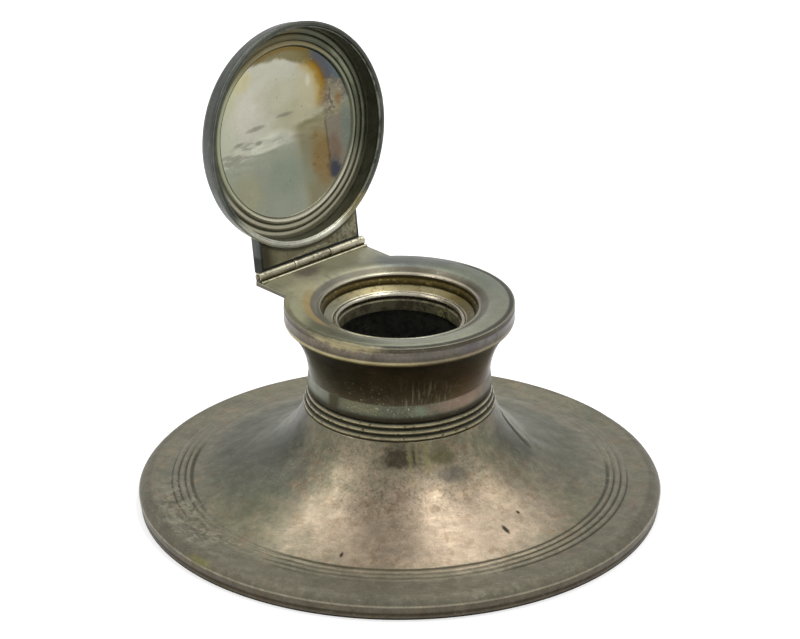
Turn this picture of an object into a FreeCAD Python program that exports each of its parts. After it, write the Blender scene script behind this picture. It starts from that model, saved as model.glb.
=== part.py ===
import FreeCAD, Part
import math
import os
from FreeCAD import Vector

# Capstan inkwell, millimetres. Origin at the middle of the underside, +Z up.
# The hinge is at the back (+Y) and its pin lies along X. The lid stands open.

# Foot: a broad spun disc that sweeps up to the waist.
foot_radius = 65.8
foot_undercut_width = 0.5
foot_edge_height = 3.3
foot_roll_width = 3.3
foot_roll_height = 2.2
foot_roll_bulge = 0.61
foot_wall = 0.9
flange_width = 5.1
flange_height = 0.12
border_reeds = 3
border_reed_width = 1.7
border_reed_height = 0.42
border_slope = 7.5
waist_height = 26.2
waist_radius = 23.9
sweep_low_angle = 14.5
sweep_high_angle = 73.0
sweep_low_pull = 0.47
sweep_high_pull = 0.287

# Underside and weight.
board_thickness = 2.2
board_chamfer_width = 0.6
pour_gap = 0.4
pour_height_above_waist = 7.0

# Reeded moulding round the waist.
waist_reeds = 3
waist_reed_width = 1.5
waist_reed_inset = 0.45
waist_reed_height = 0.7
waist_ring_bore_radius = 20.9
waist_ring_inset = 0.4

# Neck: a waisted drum between the reeding and the collar.
neck_radius = 22.6
neck_wall = 0.8
neck_height = 17.7
neck_flare_radius = 22.9
neck_waist_height = 3.0
neck_skirt_height = 4.7
neck_skirt_width = 0.45
neck_toe_height = 1.2

# Collar band and the mouth plate on it.
collar_radius = 28.55
collar_height = 3.85
collar_wall = 1.1
collar_curl_height = 1.2
plate_edge_height = 1.15
plate_bevel_width = 2.1
plate_bevel_height = 0.3
brow_radius = 19.5
brow_width = 6.3
brow_depth = 1.45
brow_edge_height = 1.05
brow_seat_width = 1.5
brow_roll_width = 0.9
brow_roll_fall = 0.25
brow_roll_height = 0.3

# Recess, rolled lip and throat that a drop-in liner would use.
cove_wall = 0.9
cove_depth = 1.5
lip_radius = 0.85
throat_radius = 15.1
throat_wall = 0.9
throat_length = 2.9
throat_chamfer_width = 0.3

# Well cup.
cup_wall = 0.8
cup_lap_height = 1.5
cup_floor_height = 10.0
cup_corner_radius = 3.0

# Hinge.
hinge_offset = 4.05
hinge_half_length = 17.75
knuckle_radius = 1.0
knuckle_gap = 0.3
knuckle_end_gap = 0.12
lid_knuckle_half_length = 5.9
pin_radius = 0.6
pin_clearance = 0.04
pin_end_length = 0.12
pad_width = 1.5
bearer_width = 0.8
bearer_height = 0.4
bearer_gap = 0.25
bearer_end_gap = 0.2
open_angle = 97.3

# Lid, drawn shut and then turned open about the hinge.
lid_gap = 0.15
lid_overhang = 0.2
lid_side_width = 1.75
rim_height = 0.95
rim_round_radius = 0.8
skirt_height = 3.95
skirt_taper_width = 0.7
shoulder_height = 1.15
shoulder_width = 1.05
shoulder_ledge_width = 0.3
dome_wall = 0.7
dome_height = 2.5
dome_reeds = 3
dome_reed_width = 1.65
dome_reed_height = 0.5
dome_reed_gap = 0.75
dome_ring_thickness = 1.1

# Lug that joins the lid to the hinge.
lug_half_width = 16.4
lug_gap = 0.6
lug_wall = 0.6
lug_end_gap = 0.15
lug_reach = 1.5
lug_plate = 0.8
lug_corner_width = 0.9
lug_round_radius = 0.6

# Sizes that follow from the ones above.
lid_radius = collar_radius + lid_overhang
lid_bore = lid_radius - lid_side_width
hinge_distance = collar_radius + hinge_offset
neck_base = waist_height + waist_reeds * waist_reed_width
neck_top = neck_base + neck_height
collar_top = neck_top + collar_height
plate_shoulder = collar_top + plate_edge_height
plate_top = plate_shoulder + plate_bevel_height
brow_height = plate_top - brow_depth
cove_top = brow_height - brow_edge_height
hinge_height = plate_shoulder + knuckle_gap + knuckle_radius
rim_low = plate_top + lid_gap
shoulder_low = rim_low + skirt_height
dome_seat = shoulder_low + shoulder_height
lug_low = rim_low + lug_gap
lug_end = hinge_distance - knuckle_radius - lug_end_gap
knuckle_room_radius = knuckle_radius + lug_end_gap
tab_back = hinge_distance + pad_width / 2.0
bearer_back = hinge_distance - knuckle_radius - bearer_gap

AXIS = Vector(0, 0, 1)
CENTRE = Vector(0, 0, 0)


def at(radius, height):
    return Vector(radius, 0, height)


def polar(start, length, degrees):
    turn = math.radians(degrees)
    return start + Vector(length * math.cos(turn), 0, length * math.sin(turn))


def bulge(a, b, height):
    """Point beside the middle of a to b, on the right of the way there for a positive height."""
    along = b - a
    side = Vector(along.z, 0, -along.x).normalize()
    return (a + b) * 0.5 + side * height


def outline(start, *runs):
    """Closed wire: a point is a straight run, a pair an arc by its middle, a list a curve on poles."""
    edges = []
    here = start
    for run in runs + (start,):
        if isinstance(run, tuple):
            edges.append(Part.Arc(here, run[0], run[1]).toShape())
            here = run[1]
        elif isinstance(run, list):
            curve = Part.BezierCurve()
            curve.setPoles([here] + run)
            edges.append(curve.toShape())
            here = run[-1]
        elif (run - here).Length > 1e-6:
            edges.append(Part.LineSegment(here, run).toShape())
            here = run
    return Part.Wire(edges)


def turned(wire):
    """Solid of revolution about the upright axis."""
    return Part.Face(wire).revolve(CENTRE, AXIS, 360)


def reed_run(start, count, step, height):
    """Half-round reeds side by side, each moved on by the same step."""
    runs = []
    here = start
    for _ in range(count):
        there = here + step
        runs.append((bulge(here, there, height), there))
        here = there
    return runs


def box(x0, x1, y0, y1, z0, z1):
    return Part.makeBox(x1 - x0, y1 - y0, z1 - z0, Vector(x0, y0, z0))


def rod(radius, x0, x1):
    """Cylinder on the hinge axis from x0 to x1."""
    foot = Vector(x0, hinge_distance, hinge_height)
    return Part.makeCylinder(radius, x1 - x0, foot, Vector(1, 0, 0))


def opened(shape):
    """The lid's pieces are drawn shut and turned back on the hinge pin."""
    turned_back = shape.copy()
    hinge = Vector(0, hinge_distance, hinge_height)
    turned_back.rotate(hinge, Vector(1, 0, 0), -open_angle)
    return turned_back


def flange_edge():
    """Where the flange's flat starts, inside the roll of the foot's edge."""
    return at(foot_radius - foot_roll_width, foot_edge_height + foot_roll_height)


def border_points():
    """Outer and inner ends of the foot's reeded border."""
    edge = flange_edge()
    outer = at(edge.x - flange_width, edge.z + flange_height)
    inner = polar(outer, border_reeds * border_reed_width, 180.0 - border_slope)
    return outer, inner


def foot_base_radius():
    return foot_radius - foot_undercut_width


def sweep_poles(depth):
    """Poles of the foot's hollow sweep, set in from the outside by a depth."""
    low = polar(border_points()[1], -depth, 90.0 - sweep_low_angle)
    high = at(waist_radius - depth / math.sin(math.radians(sweep_high_angle)), waist_height)
    reach = (low - high).Length
    low_handle = polar(low, sweep_low_pull * reach, 180.0 - sweep_low_angle)
    high_handle = polar(high, -sweep_high_pull * reach, 180.0 - sweep_high_angle)
    return [low, low_handle, high_handle, high]


def foot_shell():
    """Spun foot: upright edge rolled over to a plain flange, reeded border and hollow sweep."""
    edge_top = at(foot_radius, foot_edge_height)
    roll_crown = bulge(edge_top, flange_edge(), foot_roll_bulge)
    outer, inner = border_points()
    reeds = reed_run(outer, border_reeds, (inner - outer) * (1.0 / border_reeds), border_reed_height)
    outside = sweep_poles(0)
    inside = sweep_poles(foot_wall)
    under_border = polar(outer, -foot_wall, 90.0 - border_slope)
    edge_inside = foot_base_radius() - foot_wall
    return turned(outline(
        at(foot_base_radius(), 0),
        edge_top,
        (roll_crown, flange_edge()),
        outer,
        *reeds,
        outside[1:],
        inside[3],
        [inside[2], inside[1], inside[0]],
        under_border,
        at(edge_inside, foot_edge_height),
        at(edge_inside, 0)))


def base_board():
    """Turned wooden disc let into the foot's edge."""
    radius = foot_base_radius() - foot_wall
    return turned(outline(
        CENTRE,
        at(radius - board_chamfer_width, 0),
        at(radius, board_chamfer_width),
        at(radius, board_thickness),
        at(0, board_thickness)))


def loading():
    """Poured weight between the foot, the board and the well cup."""
    curve = sweep_poles(foot_wall + pour_gap)
    cup_outside = throat_radius + throat_wall + cup_wall
    corner = cup_corner()
    top = waist_height + pour_height_above_waist
    ring_inside = waist_ring_bore_radius - pour_gap
    return turned(outline(
        at(0, board_thickness),
        at(curve[0].x, board_thickness),
        curve[0],
        curve[1:],
        at(ring_inside, waist_height),
        at(ring_inside, top),
        at(cup_outside, top),
        at(cup_outside, corner.z),
        (polar(corner, cup_corner_radius, -45.0), polar(corner, cup_corner_radius, -90.0)),
        at(0, cup_floor_height - cup_wall)))


def waist_reeding():
    """Applied ring of three reeds, each a little wider than the one above."""
    low = at(waist_radius - waist_ring_inset, waist_height)
    step = at(-waist_reed_inset, waist_reed_width)
    reeds = reed_run(low, waist_reeds, step, waist_reed_height)
    bore_top = at(waist_ring_bore_radius, neck_base)
    bore_low = at(waist_ring_bore_radius, waist_height)
    return turned(outline(low, *reeds, bore_top, bore_low))


def flare_point(height, depth):
    """Point of the neck's flare at a height, set in by a depth."""
    hub = neck_radius + neck_flare_radius
    reach = neck_flare_radius + depth
    return at(hub - math.sqrt(reach ** 2 - (height - neck_base - neck_waist_height) ** 2), height)


def neck_drum():
    """Waisted drum: a short spreading skirt at the bottom and one long flare to the collar."""
    crease = neck_base + neck_skirt_height
    middle = (crease + neck_top) / 2
    skirt_edge = at(neck_radius + neck_skirt_width, neck_base + neck_toe_height)
    toe = at(waist_radius - waist_ring_inset - waist_reeds * waist_reed_inset, neck_base)
    toe_arc = bulge(toe, skirt_edge, 0.25 * neck_toe_height)
    return turned(outline(
        toe,
        (toe_arc, skirt_edge),
        flare_point(crease, 0),
        (flare_point(middle, 0), flare_point(neck_top, 0)),
        flare_point(neck_top, neck_wall),
        (flare_point(middle, neck_wall), flare_point(crease, neck_wall)),
        at(toe.x - neck_wall, neck_base + neck_toe_height),
        at(toe.x - neck_wall, neck_base)))


def collar_band():
    """Upright band with its lower edge curled under to the neck."""
    neck_out = flare_point(neck_top, 0).x
    neck_in = flare_point(neck_top, neck_wall).x
    curl_top = at(collar_radius, neck_top + collar_curl_height)
    curl_end = at(neck_out, neck_top)
    inside = collar_radius - collar_wall
    return turned(outline(
        curl_end,
        (bulge(curl_end, curl_top, 0.2 * collar_curl_height), curl_top),
        at(collar_radius, collar_top),
        at(inside, collar_top),
        at(inside, neck_top + collar_wall),
        at(neck_in, neck_top + collar_wall),
        at(neck_in, neck_top)))


def plate_wire(inset, height):
    """Plan of the mouth plate at a height: a disc with the hinge tab behind."""
    radius = collar_radius - inset
    half = hinge_half_length - inset
    join = math.sqrt(radius ** 2 - half ** 2)
    right = Vector(half, join, height)
    left = Vector(-half, join, height)
    back_right = Vector(half, tab_back, height)
    back_left = Vector(-half, tab_back, height)
    return Part.Wire([
        Part.LineSegment(right, back_right).toShape(),
        Part.LineSegment(back_right, back_left).toShape(),
        Part.LineSegment(back_left, left).toShape(),
        Part.Arc(left, Vector(0, -radius, height), right).toShape()])


def mouth_plate():
    """Plate over the collar, with a bevelled margin, a dished brow and the tab that carries the hinge."""
    slab = Part.Face(plate_wire(0, collar_top)).extrude(Vector(0, 0, plate_edge_height))
    bevel = Part.makeLoft(
        [plate_wire(0, plate_shoulder), plate_wire(plate_bevel_width, plate_top)], True, True)
    brow_outer = brow_radius + brow_width
    bore = Part.makeCylinder(brow_outer, plate_top)
    dish = (brow_width ** 2 + brow_depth ** 2) / (2 * brow_depth)
    dish_fall = dish - math.sqrt(dish ** 2 - (brow_width / 2) ** 2)
    brow_middle = at(brow_radius + brow_width / 2, plate_top - dish_fall)
    roll_start = at(brow_radius + brow_roll_width, brow_height)
    roll_end = at(brow_radius, brow_height - brow_roll_fall)
    ring = turned(outline(
        at(brow_outer, plate_top),
        (brow_middle, roll_start),
        (bulge(roll_start, roll_end, brow_roll_height), roll_end),
        at(brow_radius, cove_top),
        at(brow_radius + brow_seat_width, cove_top),
        at(brow_outer, collar_top)))
    rebate = box(-foot_radius, foot_radius, bearer_back, foot_radius, plate_shoulder, plate_top)
    return slab.fuse(bevel).cut(bore).cut(rebate).fuse(ring).removeSplitter()


def mouth_cove():
    """Dished ring under the brow that ends in the rolled lip of the throat."""
    roll = at(throat_radius + lip_radius, cove_top - cove_depth - 2 * lip_radius)
    roll_top = polar(roll, lip_radius, 50.0)
    floor_start = at(brow_radius - cove_wall, cove_top - cove_depth)
    lip_foot = roll.z - lip_radius
    lip_outer = throat_radius + throat_wall + cup_wall
    return turned(outline(
        at(brow_radius, cove_top),
        (bulge(at(brow_radius, cove_top), floor_start, 0.35 * cove_wall), floor_start),
        roll_top,
        (polar(roll, lip_radius, 125.0), at(throat_radius, roll.z)),
        (polar(roll, lip_radius, 215.0), at(throat_radius + throat_chamfer_width, lip_foot)),
        at(lip_outer, lip_foot),
        at(floor_start.x, floor_start.z - cove_wall),
        at(brow_radius + brow_seat_width, cove_top - cove_wall),
        at(brow_radius + brow_seat_width, cove_top)))


def lip_underside():
    return cove_top - cove_depth - 3 * lip_radius


def throat_ring():
    """Short tube under the lip: the neck that steadies a liner."""
    top = lip_underside()
    outside = throat_radius + throat_wall
    return turned(outline(
        at(throat_radius, top - throat_length),
        at(throat_radius, top - throat_chamfer_width),
        at(throat_radius + throat_chamfer_width, top),
        at(outside, top),
        at(outside, top - throat_length)))


def cup_corner():
    """Centre of the rounding between the cup's side and its floor."""
    outside = throat_radius + throat_wall + cup_wall
    return at(outside - cup_corner_radius, cup_floor_height - cup_wall + cup_corner_radius)


def well_cup():
    """Deep round-bottomed cup lapped over the throat ring."""
    inside = throat_radius + throat_wall
    outside = inside + cup_wall
    top = lip_underside() - throat_length + cup_lap_height
    corner = cup_corner()
    return turned(outline(
        at(0, cup_floor_height - cup_wall),
        polar(corner, cup_corner_radius, -90.0),
        (polar(corner, cup_corner_radius, -45.0), at(outside, corner.z)),
        at(outside, top),
        at(inside, top),
        at(inside, corner.z),
        (polar(corner, cup_corner_radius - cup_wall, -45.0), at(corner.x, cup_floor_height)),
        at(0, cup_floor_height)))


def body_knuckle(side):
    """One of the two outer knuckles, with the pad that fixes it to the tab."""
    near = lid_knuckle_half_length + knuckle_end_gap
    ends = sorted([side * near, side * hinge_half_length])
    barrel = rod(knuckle_radius, *ends)
    half_pad = pad_width / 2.0
    pad = box(ends[0], ends[1], hinge_distance - half_pad, hinge_distance + half_pad,
              plate_shoulder, hinge_height)
    return barrel.fuse(pad).cut(rod(pin_radius, *ends)).removeSplitter()


def knuckle_web():
    """Block between the lug and the middle knuckle, drawn shut."""
    half = lid_knuckle_half_length
    return box(-half, half, lug_end, hinge_distance, lug_low, hinge_height + knuckle_radius)


def lid_knuckle():
    """Middle knuckle with the web that carries it on the end of the lid's lug."""
    ends = (-lid_knuckle_half_length, lid_knuckle_half_length)
    bore = rod(pin_radius + pin_clearance, *ends)
    return opened(rod(knuckle_radius, *ends).fuse(knuckle_web()).cut(bore).removeSplitter())


def hinge_pin():
    """Pin through the three knuckles, a little proud and rounded at each end."""
    end = hinge_half_length + pin_end_length
    pin = rod(pin_radius, -end, end)
    tips = [edge for edge in pin.Edges if edge.Closed]
    return pin.makeFillet(0.8 * pin_end_length, tips)


def hinge_bearer():
    """Low rounded strip across the tab in front of the knuckles, its foot cut to the plate."""
    front = bearer_back - bearer_width
    half = hinge_half_length - bearer_end_gap
    low_front = Vector(-half, front, plate_shoulder)
    low_back = Vector(-half, bearer_back, plate_shoulder)
    side_height = plate_top + bearer_height / 2
    top_front = Vector(-half, front, side_height)
    top_back = Vector(-half, bearer_back, side_height)
    crown = Vector(-half, (front + bearer_back) / 2, plate_top + bearer_height)
    section = Part.Wire([
        Part.LineSegment(low_back, low_front).toShape(),
        Part.LineSegment(low_front, top_front).toShape(),
        Part.Arc(top_front, crown, top_back).toShape(),
        Part.LineSegment(top_back, low_back).toShape()])
    return Part.Face(section).extrude(Vector(2 * half, 0, 0)).cut(mouth_plate())


def lid_rim():
    """Rounded wire round the lid's mouth."""
    top = rim_low + rim_height
    outside = lid_radius - skirt_taper_width * rim_height / skirt_height
    low_in = at(lid_bore + rim_round_radius, rim_low)
    low_out = at(lid_radius - rim_round_radius, rim_low)
    side_in = at(lid_bore, rim_low + rim_round_radius)
    side_out = at(lid_radius, rim_low + rim_round_radius)
    return opened(turned(outline(
        at(lid_bore, top),
        side_in,
        (polar(at(low_in.x, side_in.z), rim_round_radius, 225.0), low_in),
        low_out,
        (polar(at(low_out.x, side_out.z), rim_round_radius, -45.0), side_out),
        at(outside, top))))


def lug_block(inset, end, low, high):
    """Plan of the lug as far as an end between two heights, its sides drawn in by an inset."""
    half = lug_half_width - inset
    corner = max(lug_corner_width - inset, 0.2 * lug_corner_width)
    points = [
        Vector(-half, 0, low),
        Vector(half, 0, low),
        Vector(half, end - corner, low),
        Vector(half - corner, end, low),
        Vector(-half + corner, end, low),
        Vector(-half, end - corner, low)]
    return Part.Face(Part.makePolygon(points + points[:1])).extrude(Vector(0, 0, high - low))


def lid_skirt():
    """Tapered side of the lid with its rounded shoulder, and the hollow lug that laps the knuckles."""
    low = rim_low + rim_height
    low_out = at(lid_radius - skirt_taper_width * rim_height / skirt_height, low)
    shoulder_out = at(lid_radius - skirt_taper_width, shoulder_low)
    seat_out = at(shoulder_out.x - shoulder_width, dome_seat)
    ledge = lid_bore - shoulder_ledge_width
    side = turned(outline(
        at(lid_bore, low),
        low_out,
        shoulder_out,
        (bulge(shoulder_out, seat_out, 0.25 * shoulder_width), seat_out),
        at(ledge, dome_seat),
        at(ledge, shoulder_low),
        at(lid_bore, shoulder_low)))
    lug = lug_block(0, lug_end + lug_reach, lug_low, shoulder_low)
    top_face = max(lug.Faces, key=lambda face: face.CenterOfMass.z)
    front_edge = min(top_face.Edges, key=lambda edge: edge.CenterOfMass.y)
    top_edges = [edge for edge in top_face.Edges if not edge.isSame(front_edge)]
    lug = lug.makeFillet(lug_round_radius, top_edges)
    lug = lug.cut(lug_block(lug_wall, lug_end - lug_wall, lug_low, shoulder_low - lug_wall))
    lug = lug.cut(rod(knuckle_room_radius, -foot_radius, foot_radius)).cut(knuckle_web())
    inside = Part.makeCylinder(lid_bore, dome_seat)
    rim_room = Part.makeCylinder(lid_radius, low)
    return opened(side.fuse(lug.cut(inside).cut(rim_room)).removeSplitter())


def lug_plate_piece():
    """Flat plate that closes the lug's underside."""
    plate = lug_block(lug_wall, lug_end - lug_wall, lug_low, lug_low + lug_plate)
    rim_side = Part.makeCylinder(lid_radius, 2 * shoulder_low, Vector(0, 0, 0))
    return opened(plate.cut(rim_side))


def lid_dome():
    """Reeded ring and shallow dome that close the lid's top."""
    seat_out = lid_radius - skirt_taper_width - shoulder_width
    ledge = lid_bore - shoulder_ledge_width
    ring_top = dome_seat + dome_ring_thickness
    step = at(-dome_reed_width, 0)
    outer_start = at(seat_out - dome_reed_gap, ring_top)
    outer_reeds = reed_run(outer_start, dome_reeds, step, dome_reed_height)
    field = outer_start.x - dome_reeds * dome_reed_width
    crown = at(0, ring_top + dome_height)
    ball = (field ** 2 + dome_height ** 2) / (2 * dome_height)
    inner_field = field - dome_wall
    inner_crown = crown.z - dome_wall
    edge_height = dome_seat + dome_reed_height * 0.5

    def cap(radius, top, sphere):
        return at(radius, top - sphere + math.sqrt(sphere ** 2 - radius ** 2))

    inner_start = at(field, dome_seat)
    inner_step = at((ledge - field) / dome_reeds, 0)
    inner_reeds = reed_run(inner_start, dome_reeds, inner_step, dome_reed_height)
    inner_edge = cap(inner_field, inner_crown, ball)
    shell = outline(
        at(ledge, dome_seat),
        at(seat_out, dome_seat),
        at(seat_out, ring_top - dome_reed_gap / 2),
        (bulge(at(seat_out, ring_top - dome_reed_gap / 2), outer_start, 0.2 * dome_reed_gap), outer_start),
        *outer_reeds,
        (cap(field / 2, crown.z, ball), crown),
        at(0, inner_crown),
        (cap(inner_field / 2, inner_crown, ball), inner_edge),
        at(inner_field, edge_height),
        inner_start,
        *inner_reeds)
    return opened(turned(shell))


PIECES = {
    "foot_shell": foot_shell,
    "base_board": base_board,
    "loading": loading,
    "waist_reeding": waist_reeding,
    "neck_drum": neck_drum,
    "collar_band": collar_band,
    "mouth_plate": mouth_plate,
    "mouth_cove": mouth_cove,
    "throat_ring": throat_ring,
    "well_cup": well_cup,
    "hinge_bearer": hinge_bearer,
    "hinge_pin": hinge_pin,
    "hinge_knuckle_left": lambda: body_knuckle(-1),
    "hinge_knuckle_right": lambda: body_knuckle(1),
    "lid_rim": lid_rim,
    "lid_skirt": lid_skirt,
    "lid_lug_plate": lug_plate_piece,
    "lid_dome": lid_dome,
    "lid_knuckle": lid_knuckle,
}

os.makedirs("parts", exist_ok=True)
for name, make in PIECES.items():
    make().exportStep("parts/" + name + ".step")
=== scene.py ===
import bmesh
import bpy
import cmath
import math
from mathutils import Matrix, Vector, noise


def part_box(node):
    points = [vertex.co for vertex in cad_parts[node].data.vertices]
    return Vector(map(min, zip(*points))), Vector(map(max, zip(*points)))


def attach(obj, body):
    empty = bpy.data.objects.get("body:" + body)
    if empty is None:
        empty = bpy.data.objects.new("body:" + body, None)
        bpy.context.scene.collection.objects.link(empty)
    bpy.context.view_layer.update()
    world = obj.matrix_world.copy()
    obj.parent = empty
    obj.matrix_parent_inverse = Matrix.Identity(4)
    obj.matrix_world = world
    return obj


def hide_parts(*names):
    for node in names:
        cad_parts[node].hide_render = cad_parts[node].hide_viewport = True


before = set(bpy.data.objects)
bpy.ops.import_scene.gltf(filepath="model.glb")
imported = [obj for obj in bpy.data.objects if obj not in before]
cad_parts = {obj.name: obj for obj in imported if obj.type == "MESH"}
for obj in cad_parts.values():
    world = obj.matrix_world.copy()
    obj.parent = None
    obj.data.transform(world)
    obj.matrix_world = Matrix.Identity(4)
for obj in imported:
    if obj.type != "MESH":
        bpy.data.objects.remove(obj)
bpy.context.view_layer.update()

MM = 0.001

# The front of the object, where the photograph was taken from, in degrees from -Y towards -X.
front_turn = 43.2

# Camera
lens_length = 157.5
sensor_width = 36.0
camera_distance = 887.14 * MM
camera_height_angle = 27.117
camera_roll = -0.126
look_at = Vector((0.124, -0.116, 48.402)) * MM

# Sizes in millimetres, as the solids have them
foot_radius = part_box("foot_shell")[1].x / MM
waist_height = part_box("foot_shell")[1].z / MM
foot_base_radius = foot_radius - 0.5
foot_edge_height = 3.3
foot_roll_bulge = 0.61
foot_wall = 0.9
flange_edge = complex(foot_radius - 3.3, foot_edge_height + 2.2)
flange_top = flange_edge + complex(-5.1, 0.12)
border_reeds = 3
border_reed_width = 1.7
border_reed_height = 0.42
border_slope = 7.5
waist_radius = 23.9
sweep_low_angle = 14.5
sweep_high_angle = 73.0
sweep_low_pull = 0.47
sweep_high_pull = 0.287

waist_ring_radius = 23.5
waist_reeds = 3
waist_reed_width = 1.5
waist_reed_inset = 0.45
waist_reed_height = 0.7
waist_ring_bore = 20.9

neck_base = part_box("waist_reeding")[1].z / MM
neck_top = neck_base + 17.7
neck_radius = 22.6
neck_wall = 0.8
neck_flare_radius = 22.9
neck_waist_height = 3.0
neck_crease = neck_base + 4.7
neck_toe = complex(22.15, neck_base)
neck_skirt_edge = complex(23.05, neck_base + 1.2)

collar_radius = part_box("collar_band")[1].x / MM
collar_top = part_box("collar_band")[1].z / MM
collar_wall = 1.1
collar_curl_height = 1.2
plate_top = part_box("mouth_plate")[1].z / MM
plate_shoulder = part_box("hinge_knuckle_left")[0].z / MM

brow_radius = 19.5
cove_floor = 49.7
lip_height = 48.85
throat_radius = 15.1
throat_low = 45.45
cup_floor = 10.0

lid_radius = collar_radius + 0.2
lid_bore = lid_radius - 1.75
rim_height = 0.95
skirt_height = 3.95
skirt_taper = 0.7
hinge_y = 32.6
hinge_z = 54.7
open_angle = 97.3
dome_seat = 58.95
dome_ring_top = dome_seat + 1.1
dome_seat_radius = 27.0
dome_ledge_radius = lid_bore - 0.02
dome_field_radius = 21.3
dome_ring_radius = 21.75
dome_wall = 0.7
dome_height = 2.5
dome_reed_width = 1.65
dome_reed_height = 0.5
dome_inner_height = 0.34
dome_reed_gap = 0.75
knuckle_radius = 1.13
pin_bore = 0.62
hinge_half_length = 17.75
middle_half_length = 5.9
pad_half_width = 0.75


# Outlines: a point is a complex number, radius and height

def polar(start, length, degrees):
    return start + cmath.rect(length, math.radians(degrees))


def trace(spacing, start, *runs):
    """Points on an outline: a point is a straight run, a pair an arc that stands out by
    its height on the right of the way there, a list a curve on poles."""
    points = [start]
    for run in runs:
        here = points[-1]
        if isinstance(run, tuple):
            end, height = run
            turn = 4 * math.atan(2 * height / abs(end - here))
            side = -1j * (end - here) / abs(end - here)
            reach = abs(end - here) ** 2 / (8 * height) + height / 2
            hub = (here + end) / 2 + side * (height - reach)
            count = max(8, math.ceil(abs(end - here) / spacing))
            points += [hub + (here - hub) * cmath.exp(1j * turn * i / count)
                       for i in range(1, count + 1)]
        elif isinstance(run, list):
            a, b, c, d = [here] + run
            count = math.ceil(abs(d - a) / spacing)
            for i in range(1, count + 1):
                t = i / count
                s = 1 - t
                points.append(a * s ** 3 + 3 * b * s * s * t + 3 * c * s * t * t + d * t ** 3)
        else:
            count = max(1, math.ceil(abs(run - here) / spacing))
            points += [here + (run - here) * i / count for i in range(1, count + 1)]
    return points


def reed_run(start, count, step, height):
    """Half-round reeds side by side, each moved on by the same step."""
    return [(start + step * (i + 1), height) for i in range(count)]


def flare(height, depth=0.0):
    """Point of the neck's flare at a height, set in by a depth."""
    reach = neck_flare_radius + depth
    rise = height - neck_base - neck_waist_height
    return complex(neck_radius + neck_flare_radius - math.sqrt(reach ** 2 - rise ** 2), height)


# Meshes

def lathe(name, shown, hidden, segments, relief=None):
    """Turn a closed outline round Z. The relief moves the shown part's points off the surface."""
    points = shown + hidden
    mesh = bmesh.new()
    rings = []
    for i, point in enumerate(points):
        if point.real < 1e-6:
            rings.append([mesh.verts.new((0, 0, point.imag * MM))])
            continue
        along = points[(i + 1) % len(points)] - points[i - 1]
        side = -1j * along / max(abs(along), 1e-9)
        ring = []
        for k in range(segments):
            turn = 2 * math.pi * k / segments
            here = point
            if relief and i < len(shown):
                here = point + side * relief(point.real, point.imag, turn)
            ring.append(mesh.verts.new((
                here.real * math.sin(turn) * MM,
                -here.real * math.cos(turn) * MM,
                here.imag * MM)))
        rings.append(ring)
    for i in range(len(rings)):
        a = rings[i]
        b = rings[(i + 1) % len(rings)]
        if len(a) == 1 and len(b) == 1:
            continue
        for k in range(segments):
            j = (k + 1) % segments
            if len(a) == 1:
                mesh.faces.new((a[0], b[j], b[k]))
            elif len(b) == 1:
                mesh.faces.new((a[k], a[j], b[0]))
            else:
                mesh.faces.new((a[k], a[j], b[j], b[k]))
    bmesh.ops.recalc_face_normals(mesh, faces=mesh.faces)
    return finished(name, mesh)


def finished(name, mesh):
    data = bpy.data.meshes.new(name)
    mesh.to_mesh(data)
    mesh.free()
    data.shade_smooth()
    piece = bpy.data.objects.new(name, data)
    bpy.context.scene.collection.objects.link(piece)
    return piece


def opened(piece):
    """Turn a lid piece, drawn shut, open about the hinge."""
    hinge = Vector((0, hinge_y, hinge_z)) * MM
    turn = Matrix.Rotation(math.radians(-open_angle), 4, "X")
    piece.data.transform(Matrix.Translation(hinge) @ turn @ Matrix.Translation(-hinge))
    return piece


def place(piece, body, slot, *nodes):
    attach(piece, body)
    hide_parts(*nodes)
    return piece


def ease(x, low, high):
    t = min(1.0, max(0.0, (x - low) / (high - low)))
    return t * t * (3 - 2 * t)


def front_angle(turn):
    """Degrees from the front, to the right, of a lathe's turn in radians from -Y."""
    degrees = math.degrees(turn) + front_turn
    return (degrees + 180) % 360 - 180


def ripple(x, y, z, size, seed=0.0):
    return noise.noise(Vector((x / size + seed, y / size - seed, z / size + 2 * seed)))


def pit(angle, radius, at_angle, at_radius, wide, long):
    """1 at the middle of a small oval mark on a turned surface, 0 outside it."""
    across = math.radians(angle - at_angle) * radius / wide
    along = (radius - at_radius) / long
    return max(0.0, 1 - across ** 2 - along ** 2)


def border_wear(angle):
    """How far the border's reeds are rubbed away, from 0 to 1: most on the left and at the back."""
    left = ease(angle, -80, -66) * (1 - ease(angle, -40, -24))
    back = ease(abs(angle + 3), 100, 112)
    front = 0.45 * (1 - ease(abs(angle), 20, 34))
    return max(left, back, front)


def crease_off(angle, radius):
    """Millimetres round from the middle of the dent that runs down the sweep on the right."""
    return math.radians(angle - 93 + 1.1 * (radius - 25)) * radius


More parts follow.
